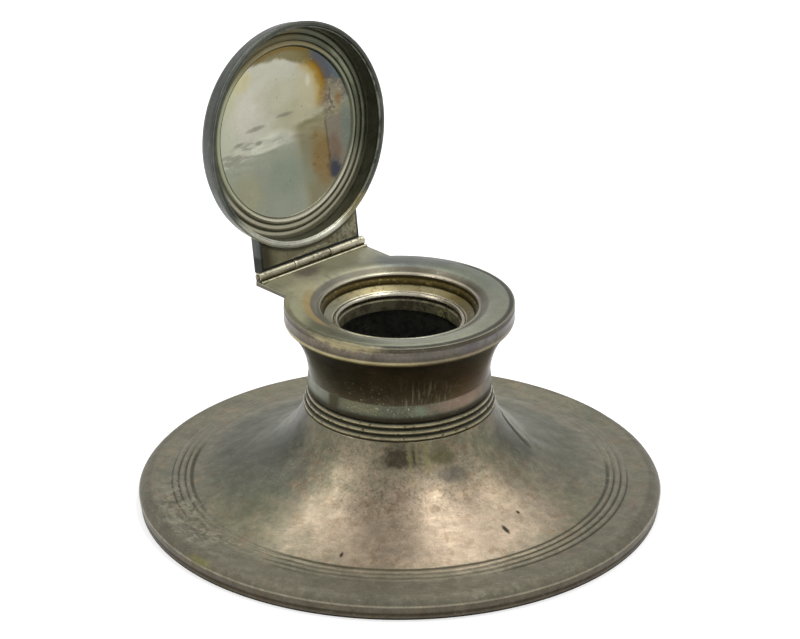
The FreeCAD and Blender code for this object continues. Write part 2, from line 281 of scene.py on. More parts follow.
def foot_relief(radius, height, turn):
    angle = front_angle(turn)
    x = radius * math.sin(turn)
    y = radius * math.cos(turn)
    move = 0.07 * ripple(x, y, height, 21) + 0.022 * ripple(x, y, height, 6.5, 3)
    move += 0.005 * ripple(x, y, height, 1.6, 5)
    across = (flange_top.real - radius) / (border_reed_width * math.cos(math.radians(border_slope)))
    if 0 < across < border_reeds and height > foot_edge_height:
        bead = border_reed_height * (1 - (2 * (across % 1) - 1) ** 2)
        move -= bead * (0.85 * border_wear(angle) + 0.12 * (1 + ripple(x, y, height, 9, 7)))
    if radius < flange_top.real:
        move -= 0.22 * pit(angle, radius, 35.5, 44.3, 0.45, 1.3)
        move -= 0.14 * pit(angle, radius, -16.8, 48.4, 0.3, 0.7)
        move -= 0.10 * pit(angle, radius, 44.5, 41.2, 0.35, 0.35)
    beaten = ease(abs(angle + 4), 84, 98) * (1 - ease(abs(angle + 4), 140, 155)) * (1 - ease(radius, 44, 52))
    move += 0.20 * beaten * ripple(x, y, height, 6.0, 13)
    if 24.5 < radius < 34 and 70 < angle < 110:
        off = crease_off(angle, radius)
        ends = ease(radius, 24.5, 26) * (1 - ease(radius, 32, 34))
        move += ends * (0.16 * math.exp(-((off - 1.6) / 1.3) ** 2) - 0.20 * math.exp(-(off / 0.4) ** 2))
    if radius > foot_base_radius - 1:
        move -= 0.10 * max(0, ripple(x, y, height, 2.6, 11) - 0.25)
        move -= 0.14 * math.exp(-((height - 1.4) / 0.35) ** 2)
        move *= ease(height, 0, 0.4)
    edge = ease(radius, foot_radius - 2.5, foot_radius - 0.6)
    return move * (1 - edge) + min(move, 0) * edge


def make_foot():
    edge_top = complex(foot_radius, foot_edge_height)
    slope = cmath.rect(border_reed_width, math.radians(180 - border_slope))

    def poles(depth):
        low = polar(flange_top + slope * border_reeds, -depth, 90 - sweep_low_angle)
        set_in = depth / math.sin(math.radians(sweep_high_angle))
        high = complex(waist_radius - set_in, waist_height)
        reach = abs(low - high)
        return [low,
                polar(low, sweep_low_pull * reach, 180 - sweep_low_angle),
                polar(high, -sweep_high_pull * reach, 180 - sweep_high_angle),
                high]

    reeds = reed_run(flange_top, border_reeds, slope, border_reed_height)
    inside = poles(foot_wall)
    wall_radius = foot_base_radius - foot_wall
    shown = trace(0.4, complex(foot_base_radius, 0), edge_top, (flange_edge, foot_roll_bulge), flange_top,
                  *reeds, poles(0)[1:])
    under = polar(flange_top, -foot_wall, 90 - border_slope)
    hidden = trace(3.0, inside[3], [inside[2], inside[1], inside[0]], under,
                   complex(wall_radius, foot_edge_height), complex(wall_radius, 0))
    piece = lathe("foot_silver", shown, hidden, 900, foot_relief)
    return place(piece, "body", "silver_foot", "foot_shell")


def reeding_relief(radius, height, turn):
    x = radius * math.sin(turn)
    y = radius * math.cos(turn)
    return 0.035 * ripple(x, y, height, 5, 2) + 0.02 * ripple(x, y, height, 1.3, 4)


def make_reeding():
    low = complex(waist_ring_radius, waist_height)
    step = complex(-waist_reed_inset, waist_reed_width)
    reeds = reed_run(low, waist_reeds, step, waist_reed_height)
    shown = trace(0.2, low, *reeds)
    hidden = [complex(waist_ring_bore, neck_base), complex(waist_ring_bore, waist_height)]
    piece = lathe("waist_reeds", shown, hidden, 540, reeding_relief)
    return place(piece, "body", "silver_dark", "waist_reeding")


def neck_relief(radius, height, turn):
    angle = front_angle(turn)
    x = radius * math.sin(turn)
    y = radius * math.cos(turn)
    move = 0.05 * ripple(x, y, height, 12, 1) + 0.012 * ripple(x, y, height, 2.2, 6)
    skirt = ease(height, neck_base + 0.8, neck_base + 1.6) * (1 - ease(height, 35.0, 36.4))
    crust = skirt * (1 - ease(abs(angle + 4), 30, 50))
    lumps = max(0, ripple(x, y, height, 0.75, 8) - 0.05) + max(0, ripple(x, y, height, 1.8, 9) - 0.1)
    move += 0.16 * crust * lumps
    runs = max(0, ripple(x * 2.6, y * 2.6, height * 0.22, 1.0, 12) - 0.16)
    falls = ease(angle, -14, 0) * (1 - ease(angle, 26, 38)) * (1 - ease(height, 38, 45))
    move += 0.10 * runs * falls * ease(height, 32, 33)
    return move


def make_neck():
    middle = (neck_crease + neck_top) / 2
    crease = flare(neck_crease)
    crown = flare(neck_top)
    bow = abs(flare(middle) - (crease + crown) / 2)
    toe_bow = 0.3
    shown = trace(0.22, neck_toe, (neck_skirt_edge, toe_bow), crease, (crown, -bow))
    inner = complex(neck_toe.real - neck_wall, neck_base)
    hidden = trace(2.0, flare(neck_top, neck_wall), flare(middle, neck_wall),
                   flare(neck_crease, neck_wall), inner + 1.2j, inner)
    piece = lathe("neck_silver", shown, hidden, 640, neck_relief)
    return place(piece, "body", "silver_dark", "neck_drum")


def collar_relief(radius, height, turn):
    x = radius * math.sin(turn)
    y = radius * math.cos(turn)
    return 0.05 * ripple(x, y, height, 10, 3) + 0.018 * ripple(x, y, height, 2.4, 5)


def make_collar():
    curl_end = flare(neck_top)
    curl_top = complex(collar_radius, neck_top + collar_curl_height)
    inside = collar_radius - collar_wall
    neck_in = flare(neck_top, neck_wall).real
    shown = trace(0.25, curl_end, (curl_top, 0.2 * collar_curl_height),
                  complex(collar_radius, collar_top))
    hidden = [complex(inside, collar_top), complex(inside, neck_top + collar_wall),
              complex(neck_in, neck_top + collar_wall), complex(neck_in, neck_top)]
    piece = lathe("collar_silver", shown, hidden, 640, collar_relief)
    return place(piece, "body", "silver_collar", "collar_band")


def dome_relief(radius, height, turn):
    """Creases and shallow dents of the thin sheet, seen from inside the lid."""
    a = radius * math.sin(turn)
    b = radius * math.cos(turn)
    inside = 1 if height < dome_ring_top + dome_height * (1 - (radius / dome_field_radius) ** 2) - 0.2 else 0
    move = 0.05 * ripple(a, b, 0, 13, 2) + 0.012 * ripple(a, b, 0, 3.5, 4)
    if inside and radius < dome_field_radius - 0.8:
        band = math.exp(-((b + 2.2 - 0.12 * a) / 2.6) ** 2) * ease(15.5 - a, 0, 5)
        move += 0.07 * band * ripple(a * 0.3, b, 0, 1.5, 6)
        rough = math.exp(-((a - 16.5) / 3.0) ** 2 - ((b - 2.5) / 4.0) ** 2)
        move += 0.10 * rough * ripple(a, b, 0, 0.8, 9)
    return move


def make_dome():
    ball = (dome_field_radius ** 2 + dome_height ** 2) / (2 * dome_height)
    inner_radius = dome_ring_radius

    def cap_bow(radius):
        return ball - math.sqrt(ball ** 2 - radius ** 2)

    crown = complex(0, dome_ring_top + dome_height)
    inner_crown = crown - 1j * dome_wall
    inner_edge = complex(inner_radius, inner_crown.imag - cap_bow(inner_radius))
    seat_out = complex(dome_seat_radius, dome_ring_top - dome_reed_gap / 2)
    outer_start = complex(dome_seat_radius - dome_reed_gap, dome_ring_top)
    outer_reeds = reed_run(outer_start, 3, -dome_reed_width, dome_reed_height)
    inner_start = complex(dome_ring_radius, dome_seat)
    inner_step = (dome_ledge_radius - dome_ring_radius) / 3
    inner_reeds = reed_run(inner_start, 3, inner_step, dome_inner_height)
    outer_bow = cap_sagitta(dome_field_radius, dome_height, ball)
    inner_bow = cap_sagitta(inner_radius, cap_bow(inner_radius), ball)
    shown = trace(
        0.3, complex(dome_ledge_radius, dome_seat), complex(dome_seat_radius, dome_seat),
        seat_out, (outer_start, 0.2 * dome_reed_gap), *outer_reeds,
        (crown, outer_bow), inner_crown, (inner_edge, -inner_bow), inner_start, *inner_reeds)
    piece = opened(lathe("lid_dome_silver", shown[:-1], [], 640, dome_relief))
    return place(piece, "lid", "silver_lid", "lid_dome")


def rim_relief(radius, height, turn):
    a = radius * math.sin(turn)
    b = radius * math.cos(turn)
    return 0.05 * ripple(a, b, height, 7, 3) + 0.02 * ripple(a, b, height, 1.8, 8) - 0.03


def make_rim():
    low = plate_top + 0.15
    top = low + rim_height
    outside = lid_radius - skirt_taper * rim_height / skirt_height
    proud = lid_radius - 0.08
    shown = trace(0.25, complex(lid_bore, top), complex(lid_bore, low + 0.5),
                  (complex(lid_bore + 0.5, low), -0.12), complex(proud - 0.3, low),
                  (complex(proud, low + 0.3), 0.08), complex(lid_radius - 0.28, low + 0.56),
                  complex(outside, top))
    piece = opened(lathe("lid_rim_silver", shown, [], 640, rim_relief))
    return place(piece, "lid", "silver_lid", "lid_rim")


def hinge_barrel(name, low_x, high_x, reach, relief):
    """Tube along the hinge line whose outside lies at a reach that depends on the turn round it."""
    sides = 72
    bevel = 0.12
    mesh = bmesh.new()
    count = math.ceil((high_x - low_x - 2 * bevel) / 0.16)
    middle = [low_x + bevel + (high_x - low_x - 2 * bevel) * i / count for i in range(count + 1)]
    stations = [(low_x, -bevel)] + [(x, 0.0) for x in middle] + [(high_x, -bevel)]
    rings = []
    for x, inset in stations:
        ring = []
        for k in range(sides):
            turn = 2 * math.pi * k / sides
            out = reach(turn) + inset + relief(x, turn)
            ring.append(mesh.verts.new((x * MM, (hinge_y + out * math.sin(turn)) * MM,
                                        (hinge_z + out * math.cos(turn)) * MM)))
        rings.append(ring)
    for x in (high_x, low_x):
        rings.append([mesh.verts.new((x * MM, (hinge_y + pin_bore * math.sin(2 * math.pi * k / sides)) * MM,
                                      (hinge_z + pin_bore * math.cos(2 * math.pi * k / sides)) * MM))
                      for k in range(sides)])
    for i in range(len(rings)):
        a = rings[i]
        b = rings[(i + 1) % len(rings)]
        for k in range(sides):
            j = (k + 1) % sides
            mesh.faces.new((a[k], a[j], b[j], b[k]))
    bmesh.ops.recalc_face_normals(mesh, faces=mesh.faces)
    return finished(name, mesh)


def fixed_reach(turn):
    """Round, with the pad that fixes it to the tab below."""
    down = -math.cos(turn)
    if down <= 0.05:
        return knuckle_radius
    drop = hinge_z - plate_shoulder
    across = pad_half_width / max(abs(math.sin(turn)), 1e-6)
    return max(knuckle_radius, min(across, drop / down))


def lid_reach(turn):
    """Round, with the web to the lug towards -Y, drawn shut."""
    back = -math.sin(turn)
    if back <= 0.05:
        return knuckle_radius
    up = math.cos(turn)
    limit = 0.998 / up if up > 0 else 0.248 / max(-up, 1e-6)
    return max(knuckle_radius, min(1.148 / back, limit))


def barrel_dents(x, turn):
    return -0.04 * max(0, ripple(x, 2 * math.sin(turn), 2 * math.cos(turn), 1.6, 4) - 0.15)


def lid_barrel_dents(x, turn):
    """Dents, and a row of notches along the side that faces down when the lid is open."""
    under = math.exp(-((math.degrees(turn) - 128) / 24) ** 2)
    notches = max(0, math.sin(x * 4.6 + 0.8)) * ease(x, -2.5, -1.5)
    return barrel_dents(x, turn) - 0.34 * under * notches


def make_knuckles():
    inner = middle_half_length + 0.12
    left = hinge_barrel("hinge_barrel_left", -hinge_half_length, -inner, fixed_reach, barrel_dents)
    place(left, "body", "silver_collar", "hinge_knuckle_left")
    right = hinge_barrel("hinge_barrel_right", inner, hinge_half_length, fixed_reach, barrel_dents)
    place(right, "body", "silver_collar", "hinge_knuckle_right")
    middle = opened(hinge_barrel("lid_barrel", -middle_half_length, middle_half_length,
                                 lid_reach, lid_barrel_dents))
    place(middle, "lid", "silver_collar", "lid_knuckle")
    return left, right, middle


def cap_sagitta(width, rise, ball):
    """How far an arc of the ball stands off its chord across a width and a rise."""
    half = math.hypot(width, rise) / 2
    return ball - math.sqrt(ball ** 2 - half ** 2)


# Materials: layers of colour, roughness and relief laid one over another

def linear(colour):
    """Colour written as display values from 0 to 255, as the shader wants it."""
    out = []
    for c in colour:
        c = c / 255
        out.append(c / 12.92 if c <= 0.04045 else ((c + 0.055) / 1.055) ** 2.4)
    return (*out, 1.0)


class Field:
    """A number that varies over a surface, with arithmetic."""

    def __init__(self, paint, socket):
        self.paint = paint
        self.socket = socket

    def __add__(self, other):
        return self.paint.math("ADD", self, other)

    def __sub__(self, other):
        return self.paint.math("SUBTRACT", self, other)

    def __rsub__(self, other):
        return self.paint.math("SUBTRACT", other, self)

    def __mul__(self, other):
        return self.paint.math("MULTIPLY", self, other)

    def __truediv__(self, other):
        return self.paint.math("DIVIDE", self, other)

    __radd__ = __add__
    __rmul__ = __mul__


class Paint:
    """A metal or other surface built up in layers."""

    def __init__(self, name, colour, rough, metal=1.0, spun=0.0, lid=False):
        self.material = bpy.data.materials.new(name)
        self.material.use_nodes = True
        self.tree = self.material.node_tree
        self.shader = self.tree.nodes["Principled BSDF"]
        self.colour = linear(colour)
        self.rough = rough
        self.metal = metal
        self.height = 0.0
        if spun:
            tangent = self.tree.nodes.new("ShaderNodeTangent")
            tangent.direction_type = "RADIAL"
            tangent.axis = "Z"
            self.tree.links.new(tangent.outputs[0], self.shader.inputs["Tangent"])
            self.shader.inputs["Anisotropic"].default_value = spun
            self.shader.inputs["Anisotropic Rotation"].default_value = 0.25
        place = self.tree.nodes.new("ShaderNodeTexCoord").outputs["Object"]
        move = self.tree.nodes.new("ShaderNodeMapping")
        move.inputs["Scale"].default_value = (1 / MM,) * 3
        if lid:
            turn = Matrix.Rotation(math.radians(open_angle), 3, "X")
            hinge = Vector((0, hinge_y, hinge_z))
            move.inputs["Rotation"].default_value = (math.radians(open_angle), 0, 0)
            move.inputs["Location"].default_value = hinge - turn @ hinge
        else:
            move.inputs["Rotation"].default_value = (0, 0, math.radians(front_turn))
        self.tree.links.new(place, move.inputs["Vector"])
        self.place = move.outputs[0]
        apart = self.tree.nodes.new("ShaderNodeSeparateXYZ")
        self.tree.links.new(self.place, apart.inputs[0])
        self.x = Field(self, apart.outputs[0])
        self.y = 0.0 - Field(self, apart.outputs[1])
        self.z = Field(self, apart.outputs[2])
        self.radius = self.math("SQRT", self.x * self.x + self.y * self.y)
        self.angle = self.math("ARCTAN2", self.x, self.y) * math.degrees(1)

    def link(self, value, socket):
        if isinstance(value, Field):
            self.tree.links.new(value.socket, socket)
        elif hasattr(value, "is_linked"):
            self.tree.links.new(value, socket)
        else:
            socket.default_value = value

    def math(self, operation, *values):
        made = self.tree.nodes.new("ShaderNodeMath")
        made.operation = operation
        for socket, value in zip(made.inputs, values):
            self.link(value, socket)
        return Field(self, made.outputs[0])

    def step(self, value, low, high, start=0.0, end=1.0):
        """Smooth change from start to end as the value goes from low to high."""
        made = self.tree.nodes.new("ShaderNodeMapRange")
        made.interpolation_type = "SMOOTHSTEP"
        for socket, number in zip(made.inputs, (value, low, high, start, end)):
            self.link(number, socket)
        return Field(self, made.outputs[0])

    def between(self, value, low, high, soft):
        return self.step(value, low - soft, low + soft) * self.step(value, high + soft, high - soft)

    def combine(self, x, y, z):
        made = self.tree.nodes.new("ShaderNodeCombineXYZ")
        for socket, value in zip(made.inputs, (x, y, z)):
            self.link(value, socket)
        return made.outputs[0]

    def rings(self, turns=6.0):
        """Place that changes slowly round the axis and fast across, as turning marks do."""
        return self.combine(self.x / self.radius * turns, self.y / self.radius * turns,
                            self.radius + self.z * 0.7)

    def falls(self, slow=0.12):
        """Place that changes slowly down the surface and fast round it, as runs and drips do."""
        return self.combine(self.x / self.radius * 24.0, self.y / self.radius * 24.0,
                            (self.z - self.radius) * slow)

    def noise(self, size, detail=3.0, seed=0.0, at=None, warp=0.0):
        shift = self.tree.nodes.new("ShaderNodeVectorMath")
        shift.operation = "ADD"
        self.link(at or self.place, shift.inputs[0])
        shift.inputs[1].default_value = (31.7 * seed, 17.3 * seed, 11.9 * seed)
        made = self.tree.nodes.new("ShaderNodeTexNoise")
        made.inputs["Scale"].default_value = 1 / size
        made.inputs["Detail"].default_value = detail
        made.inputs["Distortion"].default_value = warp
        self.tree.links.new(shift.outputs[0], made.inputs["Vector"])
        return Field(self, made.outputs[0])

    def specks(self, size, reach, seed=0.0, at=None):
        """Small round marks, 1 at their middles, a share of them left out at random."""
        shift = self.tree.nodes.new("ShaderNodeVectorMath")
        shift.operation = "ADD"
        self.link(at or self.place, shift.inputs[0])
        shift.inputs[1].default_value = (23.1 * seed, 7.7 * seed, 19.3 * seed)
        made = self.tree.nodes.new("ShaderNodeTexVoronoi")
        made.inputs["Scale"].default_value = 1 / size
        self.tree.links.new(shift.outputs[0], made.inputs["Vector"])
        apart = self.tree.nodes.new("ShaderNodeSeparateColor")
        self.tree.links.new(made.outputs["Color"], apart.inputs[0])
        wide = Field(self, apart.outputs[0]) * reach
        return self.step(Field(self, made.outputs["Distance"]) - wide, 0.02, -0.06)

    def scratches(self, size, width, seed=0.0, at=None, warp=0.6):
        """Hair lines where a stretched noise passes its middle."""
        off = self.math("ABSOLUTE", self.noise(size, 1.0, seed, at, warp) - 0.5)
        return self.step(off, width, 0.0)

    def spot(self, x, y, middle, size, soft=0.5, ragged=0.3, seed=0.0, grain=3.0):
        """Oval patch with a soft, ragged edge in two of the surface's own directions."""
        across = (x - middle[0]) / size[0]
        along = (y - middle[1]) / size[1]
        off = self.math("SQRT", across * across + along * along)
        if ragged:
            off = off + (self.noise(grain, 3.0, seed + 0.5) - 0.5) * (3 * ragged)
        return self.step(off, 1 + soft, 1 - soft)

    def mix(self, low, high, share, kind="MIX"):
        made = self.tree.nodes.new("ShaderNodeMix")
        made.data_type = "RGBA"
        made.blend_type = kind
        made.clamp_factor = True
        self.link(share, made.inputs[0])
        self.link(low, made.inputs[6])
        self.link(high, made.inputs[7])
        return made.outputs[2]

    def layer(self, mask, colour=None, rough=None, metal=None, height=0.0):
        """Lay a finish where the mask is 1."""
        if colour is not None:
            self.colour = self.mix(self.colour, linear(colour), mask)
        if rough is not None:
            self.rough = self.rough + (rough - self.rough) * mask
        if metal is not None:
            self.metal = self.metal + (metal - self.metal) * mask
        if height:
            self.height = self.height + mask * height

    def shade(self, value, low, high):
        """Darken and lighten the colour by a value that goes from 0 to 1."""
        tone = self.step(value, 0.25, 0.75, low, high)
        grey = self.combine(tone, tone, tone)
        self.colour = self.mix(self.colour, grey, 1.0, "MULTIPLY")

    def ramp(self, value, stops):
        made = self.tree.nodes.new("ShaderNodeValToRGB")
        bar = made.color_ramp.elements
        while len(bar) < len(stops):
            bar.new(0.5)
        for element, (position, colour) in zip(bar, stops):
            element.position = position
            element.color = linear(colour)
        self.link(value, made.inputs[0])
        return made.outputs[0]

    def done(self):
        self.link(self.colour, self.shader.inputs["Base Color"])
        self.link(self.rough, self.shader.inputs["Roughness"])
        self.link(self.metal, self.shader.inputs["Metallic"])
        if isinstance(self.height, Field):
            bump = self.tree.nodes.new("ShaderNodeBump")
            bump.inputs["Distance"].default_value = MM
            self.link(self.height, bump.inputs["Height"])
            self.tree.links.new(bump.outputs[0], self.shader.inputs["Normal"])
        return self.material


def groove_phase(p, value, start, width):
    """1 in the grooves between reeds of a width, 0 on their crests."""
    part = p.math("FRACT", (value - start) / width)
    return p.math("ABSOLUTE", part - 0.5) * 2.0


def worn_silver(p, seed, mottle=0.12, pits=0.004):
    """What every silver surface has: clouding, fine grain, specks, hair lines and soft dents."""
    p.shade(p.noise(5.0, 4.0, seed), 1 - mottle, 1 + mottle)
    p.shade(p.noise(0.7, 3.0, seed + 1), 1 - 0.6 * mottle, 1 + 0.6 * mottle)
    clusters = p.step(p.noise(6.0, 3.0, seed + 7), 0.48, 0.62)
    p.layer(p.specks(1.1, 0.18, seed + 2) * clusters * 0.5, (60, 54, 42), rough=0.6, height=-0.01)
    p.rough = p.rough + (p.noise(3.0, 4.0, seed + 3) - 0.5) * 0.22
    for lean, share in ((0.35, 0.22), (-0.8, 0.16)):
        along = p.x + p.y * lean
        across = p.y - p.x * lean
        line = p.scratches(1.0, 0.012, seed + 4 + lean, p.combine(along * 0.05, across, p.z), 0.0)
        here = p.step(p.noise(4.0, 2.0, seed + 8), 0.5, 0.6)
        p.layer(line * share * here, (176, 172, 154), height=-0.003)
    p.height = p.height + p.noise(0.35, 2.0, seed + 5) * pits + p.noise(1.5, 2.0, seed + 6) * (3 * pits)


def foot_colours(p, angle, radius):
    """Broad clouds of the foot: brown in front, olive and grey round the sides, with painted shade on the
    far sides.
    """
    p.layer(p.step(p.noise(14, 4, 1), 0.44, 0.66) * 0.8, (112, 108, 90))
    p.layer(p.step(p.noise(8, 5, 2, warp=0.8), 0.52, 0.66) * 0.7, (94, 95, 78))
    p.layer(p.spot(angle, radius, (10, 41), (48, 14), seed=3) * 0.85, (150, 134, 115))
    p.layer(p.step(p.noise(5, 5, 21, warp=1.0), 0.54, 0.64) * 0.5, (120, 101, 80))
    p.layer(p.spot(angle, radius, (-82, 36), (36, 10), seed=4) * 0.7, (94, 96, 86))
    p.layer(p.spot(angle, radius, (-58, 46), (16, 8), seed=5) * 0.5, (104, 103, 80))
    # The far sides are painted darker: painted shade that dims their reflection of the bright surroundings.
    p.layer(p.spot(angle, radius, (118, 40), (40, 10), seed=6) * 0.8, (78, 78, 62), rough=0.5)
    p.layer(p.spot(angle, radius, (-114, 40), (44, 10), seed=7) * 0.8, (70, 70, 56), rough=0.5)
    p.layer(p.spot(angle, radius, (80, 28), (14, 6), seed=19) * 0.85, (58, 58, 46))
    p.layer(p.spot(angle, radius, (-82, 28), (18, 6), seed=20) * 0.85, (60, 60, 49))
    p.layer(p.spot(angle, radius, (0, 60), (64, 6), ragged=0.2, seed=8) * 0.9, (94, 90, 77), rough=0.54)
    p.layer(p.step(radius, 62.0, 63.4) * 0.8, (94, 90, 77), rough=0.6)


def foot_stains(p, angle, radius):
    """Light patches, runs and dark marks where the sweep rises to the neck, with a painted reflection of the
    neck in front and painted shade along the dent's crease.
    """
    p.layer(p.spot(angle, radius, (-26, 26.5), (12, 3.4), ragged=0.5, seed=9) * 0.5, (146, 133, 112))
    p.layer(p.spot(angle, radius, (43, 34), (6, 4.5), ragged=0.5, seed=11) * 0.5, (156, 140, 116))
    near_neck = p.spot(angle, radius, (2, 29), (58, 8), seed=15)
    p.layer(near_neck * p.step(p.noise(0.8, 4, 16), 0.52, 0.62) * 0.55, (92, 82, 66))
    p.layer(near_neck * p.step(p.noise(3.0, 5, 22, warp=1.2), 0.56, 0.66) * 0.5, (150, 134, 110))
    # Dark patch in front, just under the reeds: a painted reflection of the dark neck.
    dark = p.spot(angle, radius, (1, 25.4), (10, 1.3), ragged=0.4, seed=12, grain=1.5)
    p.layer(dark * 0.9, (54, 48, 36), rough=0.5)
    p.layer(p.spot(angle, radius, (27, 28.6), (9, 1.4), ragged=0.4, seed=13) * 0.7, (84, 82, 74))
    p.layer(p.spot(angle, radius, (22, 25.4), (9, 1.2), ragged=0.4, seed=14) * 0.7, (76, 74, 46))
    for middle, wide, reach in ((5.6, 1.5, 2.2), (9.4, 1.0, 1.3), (14.8, 1.8, 2.8)):
        run = p.spot(angle, radius, (middle, 25.0), (wide, reach), ragged=0.9, seed=middle, grain=1.0)
        p.layer(run * 0.65, (136, 132, 92), rough=0.7, metal=0.3, height=0.06)
    # Dark line along the dent that runs down the sweep on the right: painted shade in its crease.
    crease = p.radius * (p.angle - 93 + (p.radius - 25) * 1.1) * math.radians(1)
    line = p.between(crease, -0.25, 0.25, 0.2) * p.between(radius, 25.5, 32.5, 1.0)
    p.layer(line * 0.85, (40, 39, 33), rough=0.6)
    gouges = (((35.5, 44.3), (0.7, 1.4)), ((-16.8, 48.4), (0.5, 0.8)), ((44.5, 41.2), (0.6, 0.5)))
    for middle, size in gouges:
        p.layer(p.spot(angle, radius, middle, size, ragged=0.1) * 0.9, (50, 46, 36), rough=0.7)


def foot_border(p, angle, radius):
    """Dirt in the border's grooves, worn away on the left and at the back."""
    phase = groove_phase(p, radius, flange_top.real, border_reed_width)
    worn = p.step(angle, -74, -62) * p.step(angle, -26, -38)
    shown = p.step(angle, 100, 84) * p.step(angle, -108, -96)
    front = p.step(p.math("ABSOLUTE", angle), 34, 20)
    border = p.between(radius, 52.2, 57.6, 0.2)
    grooves = p.step(phase, 0.5, 0.95) * border * shown * (1.0 - worn * 0.85) * (1.0 - front * 0.6)
    p.layer(grooves * 0.85, (52, 50, 37), rough=0.6, metal=0.7)
    inner_groove = p.between(radius, 51.9, 52.9, 0.2) * shown * (1.0 - worn * 0.9)
    p.layer(inner_groove * 0.75, (62, 60, 44), rough=0.6)
    p.layer(p.step(phase, 0.4, 0.0) * border * shown * 0.3, (134, 130, 110))
    scuff = p.spot(angle, radius, (-66, 57.5), (20, 5.2), ragged=0.5, seed=7)
    rub = p.noise(0.9, 5, 8, at=p.falls(0.6), warp=0.8)
    p.layer(scuff * p.step(rub, 0.50, 0.58) * 0.7, (132, 130, 112), rough=0.6)
    p.layer(scuff * p.step(rub, 0.46, 0.38) * 0.6, (80, 78, 62), rough=0.6)
    mottle = p.spot(angle, radius, (27, 62), (9, 2.4), seed=17)
    p.layer(mottle * p.step(p.noise(0.9, 4, 18), 0.5, 0.6) * 0.5, (88, 84, 71), rough=0.6)


def foot_edge(p, angle, radius):
    """The edge: a light upper half with a painted highlight line along its top, a dark hollow and a dull
    bead below.
    """
    side = p.step(radius, foot_base_radius - 0.4, foot_base_radius) * p.step(p.z, 3.7, 3.3)
    p.layer(side, (92, 86, 74), rough=0.5)
    p.layer(side * p.step(p.noise(2.2, 4, 9), 0.52, 0.66) * 0.6, (98, 84, 60))
    p.layer(side * p.between(p.z, 0.95, 1.8, 0.3) * 0.85, (62, 55, 42), rough=0.6)
    p.layer(side * p.step(p.z, 0.5, 0.2), (34, 31, 23), rough=0.7)
    # Light line where the edge turns into the roll: a painted highlight.
    rim = p.between(p.z, 3.35, 3.75, 0.12) * p.step(radius, foot_radius - 0.8, foot_radius - 0.5)
    p.layer(rim * 0.75, (140, 134, 116), rough=0.42)
    p.layer(p.spot(angle, p.z, (-48, 4.2), (3.0, 0.7), seed=11) * 0.7, (116, 112, 64), rough=0.7, metal=0.4)


def foot_paint():
    p = Paint("foot_silver_finish", (106, 103, 84), 0.40, metal=0.9, spun=0.6)
    foot_colours(p, p.angle, p.radius)
    foot_stains(p, p.angle, p.radius)
    rings = p.noise(0.5, 3, 6, at=p.rings())
    p.shade(rings, 0.95, 1.05)
    p.height = p.height + rings * 0.005
    foot_border(p, p.angle, p.radius)
    foot_edge(p, p.angle, p.radius)
    p.shade(p.noise(2.0, 5.0, 31, warp=0.6), 0.86, 1.14)
    p.shade(p.noise(0.4, 2.0, 32), 0.90, 1.10)
    worn_silver(p, 12, 0.10, 0.006)
    return p.done()


def reeding_paint():
    p = Paint("waist_reeds_finish", (128, 122, 98), 0.34, spun=0.3)
    phase = groove_phase(p, p.z, waist_height, waist_reed_width)
    p.layer(p.step(phase, 0.35, 0.85), (46, 45, 32), rough=0.6, metal=0.6)
    p.layer(p.step(phase, 0.25, 0.0) * p.step(p.noise(2, 3, 1), 0.35, 0.55), (168, 158, 126))
    p.layer(p.step(p.noise(1.2, 4, 2), 0.58, 0.68), (66, 62, 44), rough=0.6)
    worn_silver(p, 3, 0.16)
    return p.done()


def neck_paint():
    p = Paint("neck_silver_finish", (66, 59, 44), 0.34)
    angle = p.angle
    z = p.z
    p.layer(p.spot(angle, z, (58, 41), (26, 9), seed=1) * 0.8, (84, 66, 45))
    p.layer(p.spot(angle, z, (-72, 41), (26, 9), seed=2) * 0.7, (76, 72, 54))
    p.layer(p.step(p.noise(2.5, 4, 3, at=p.falls(0.3)), 0.5, 0.75) * 0.5, (84, 75, 54))
    p.layer(p.step(z, 46.6, 48.2) * 0.6, (46, 38, 28))
    skirt = p.step(z, neck_crease + 0.25, neck_crease - 0.25)
    p.layer(skirt, (90, 92, 78), rough=0.5)
    p.layer(skirt * p.spot(angle, z, (-64, 34.6), (16, 1.6), ragged=0.15, seed=4), (122, 124, 112))
    p.layer(skirt * p.spot(angle, z, (-26, 34.6), (14, 1.5), ragged=0.2, seed=14) * 0.8, (108, 106, 84))
    p.layer(skirt * p.spot(angle, z, (44, 34.4), (25, 1.9), ragged=0.2, seed=5), (122, 106, 92))
    p.layer(skirt * p.spot(angle, z, (-45, 34), (4.5, 4), ragged=0.2, seed=6) * 0.85, (60, 54, 34))
    p.layer(p.step(z, 33.0, 31.8), (52, 46, 28), rough=0.7, metal=0.5)
    front = p.step(angle, -42, -30) * p.step(angle, 30, 14)
    crust = skirt * front * p.step(z, 32.2, 33.0) * p.step(z, 36.2, 34.6)
    p.layer(crust * p.step(p.noise(0.8, 4, 7), 0.54, 0.64) * 0.8, (136, 136, 100), rough=0.8, metal=0.0)
    p.layer(crust * p.step(p.noise(0.5, 3, 8), 0.64, 0.70), (188, 190, 158), rough=0.8, metal=0.0)
    p.layer(crust * p.spot(angle, z, (13, 34.0), (4.5, 1.3), seed=9) * 0.5, (118, 132, 112))
    runs = p.noise(0.7, 3, 10, at=p.falls(0.16))
    wet = p.spot(angle, z, (13, 37.5), (17, 4.6), ragged=0.5, seed=13)
    p.layer(wet * p.step(runs, 0.54, 0.66) * 0.6, (120, 118, 98))
    nicks = p.specks(0.9, 0.30, 11) * p.spot(angle, z, (-20, 38.5), (14, 4.0), ragged=0.5, seed=12)
    p.layer(nicks * 0.7, (136, 130, 106))
    worn_silver(p, 13, 0.12)
    return p.done()


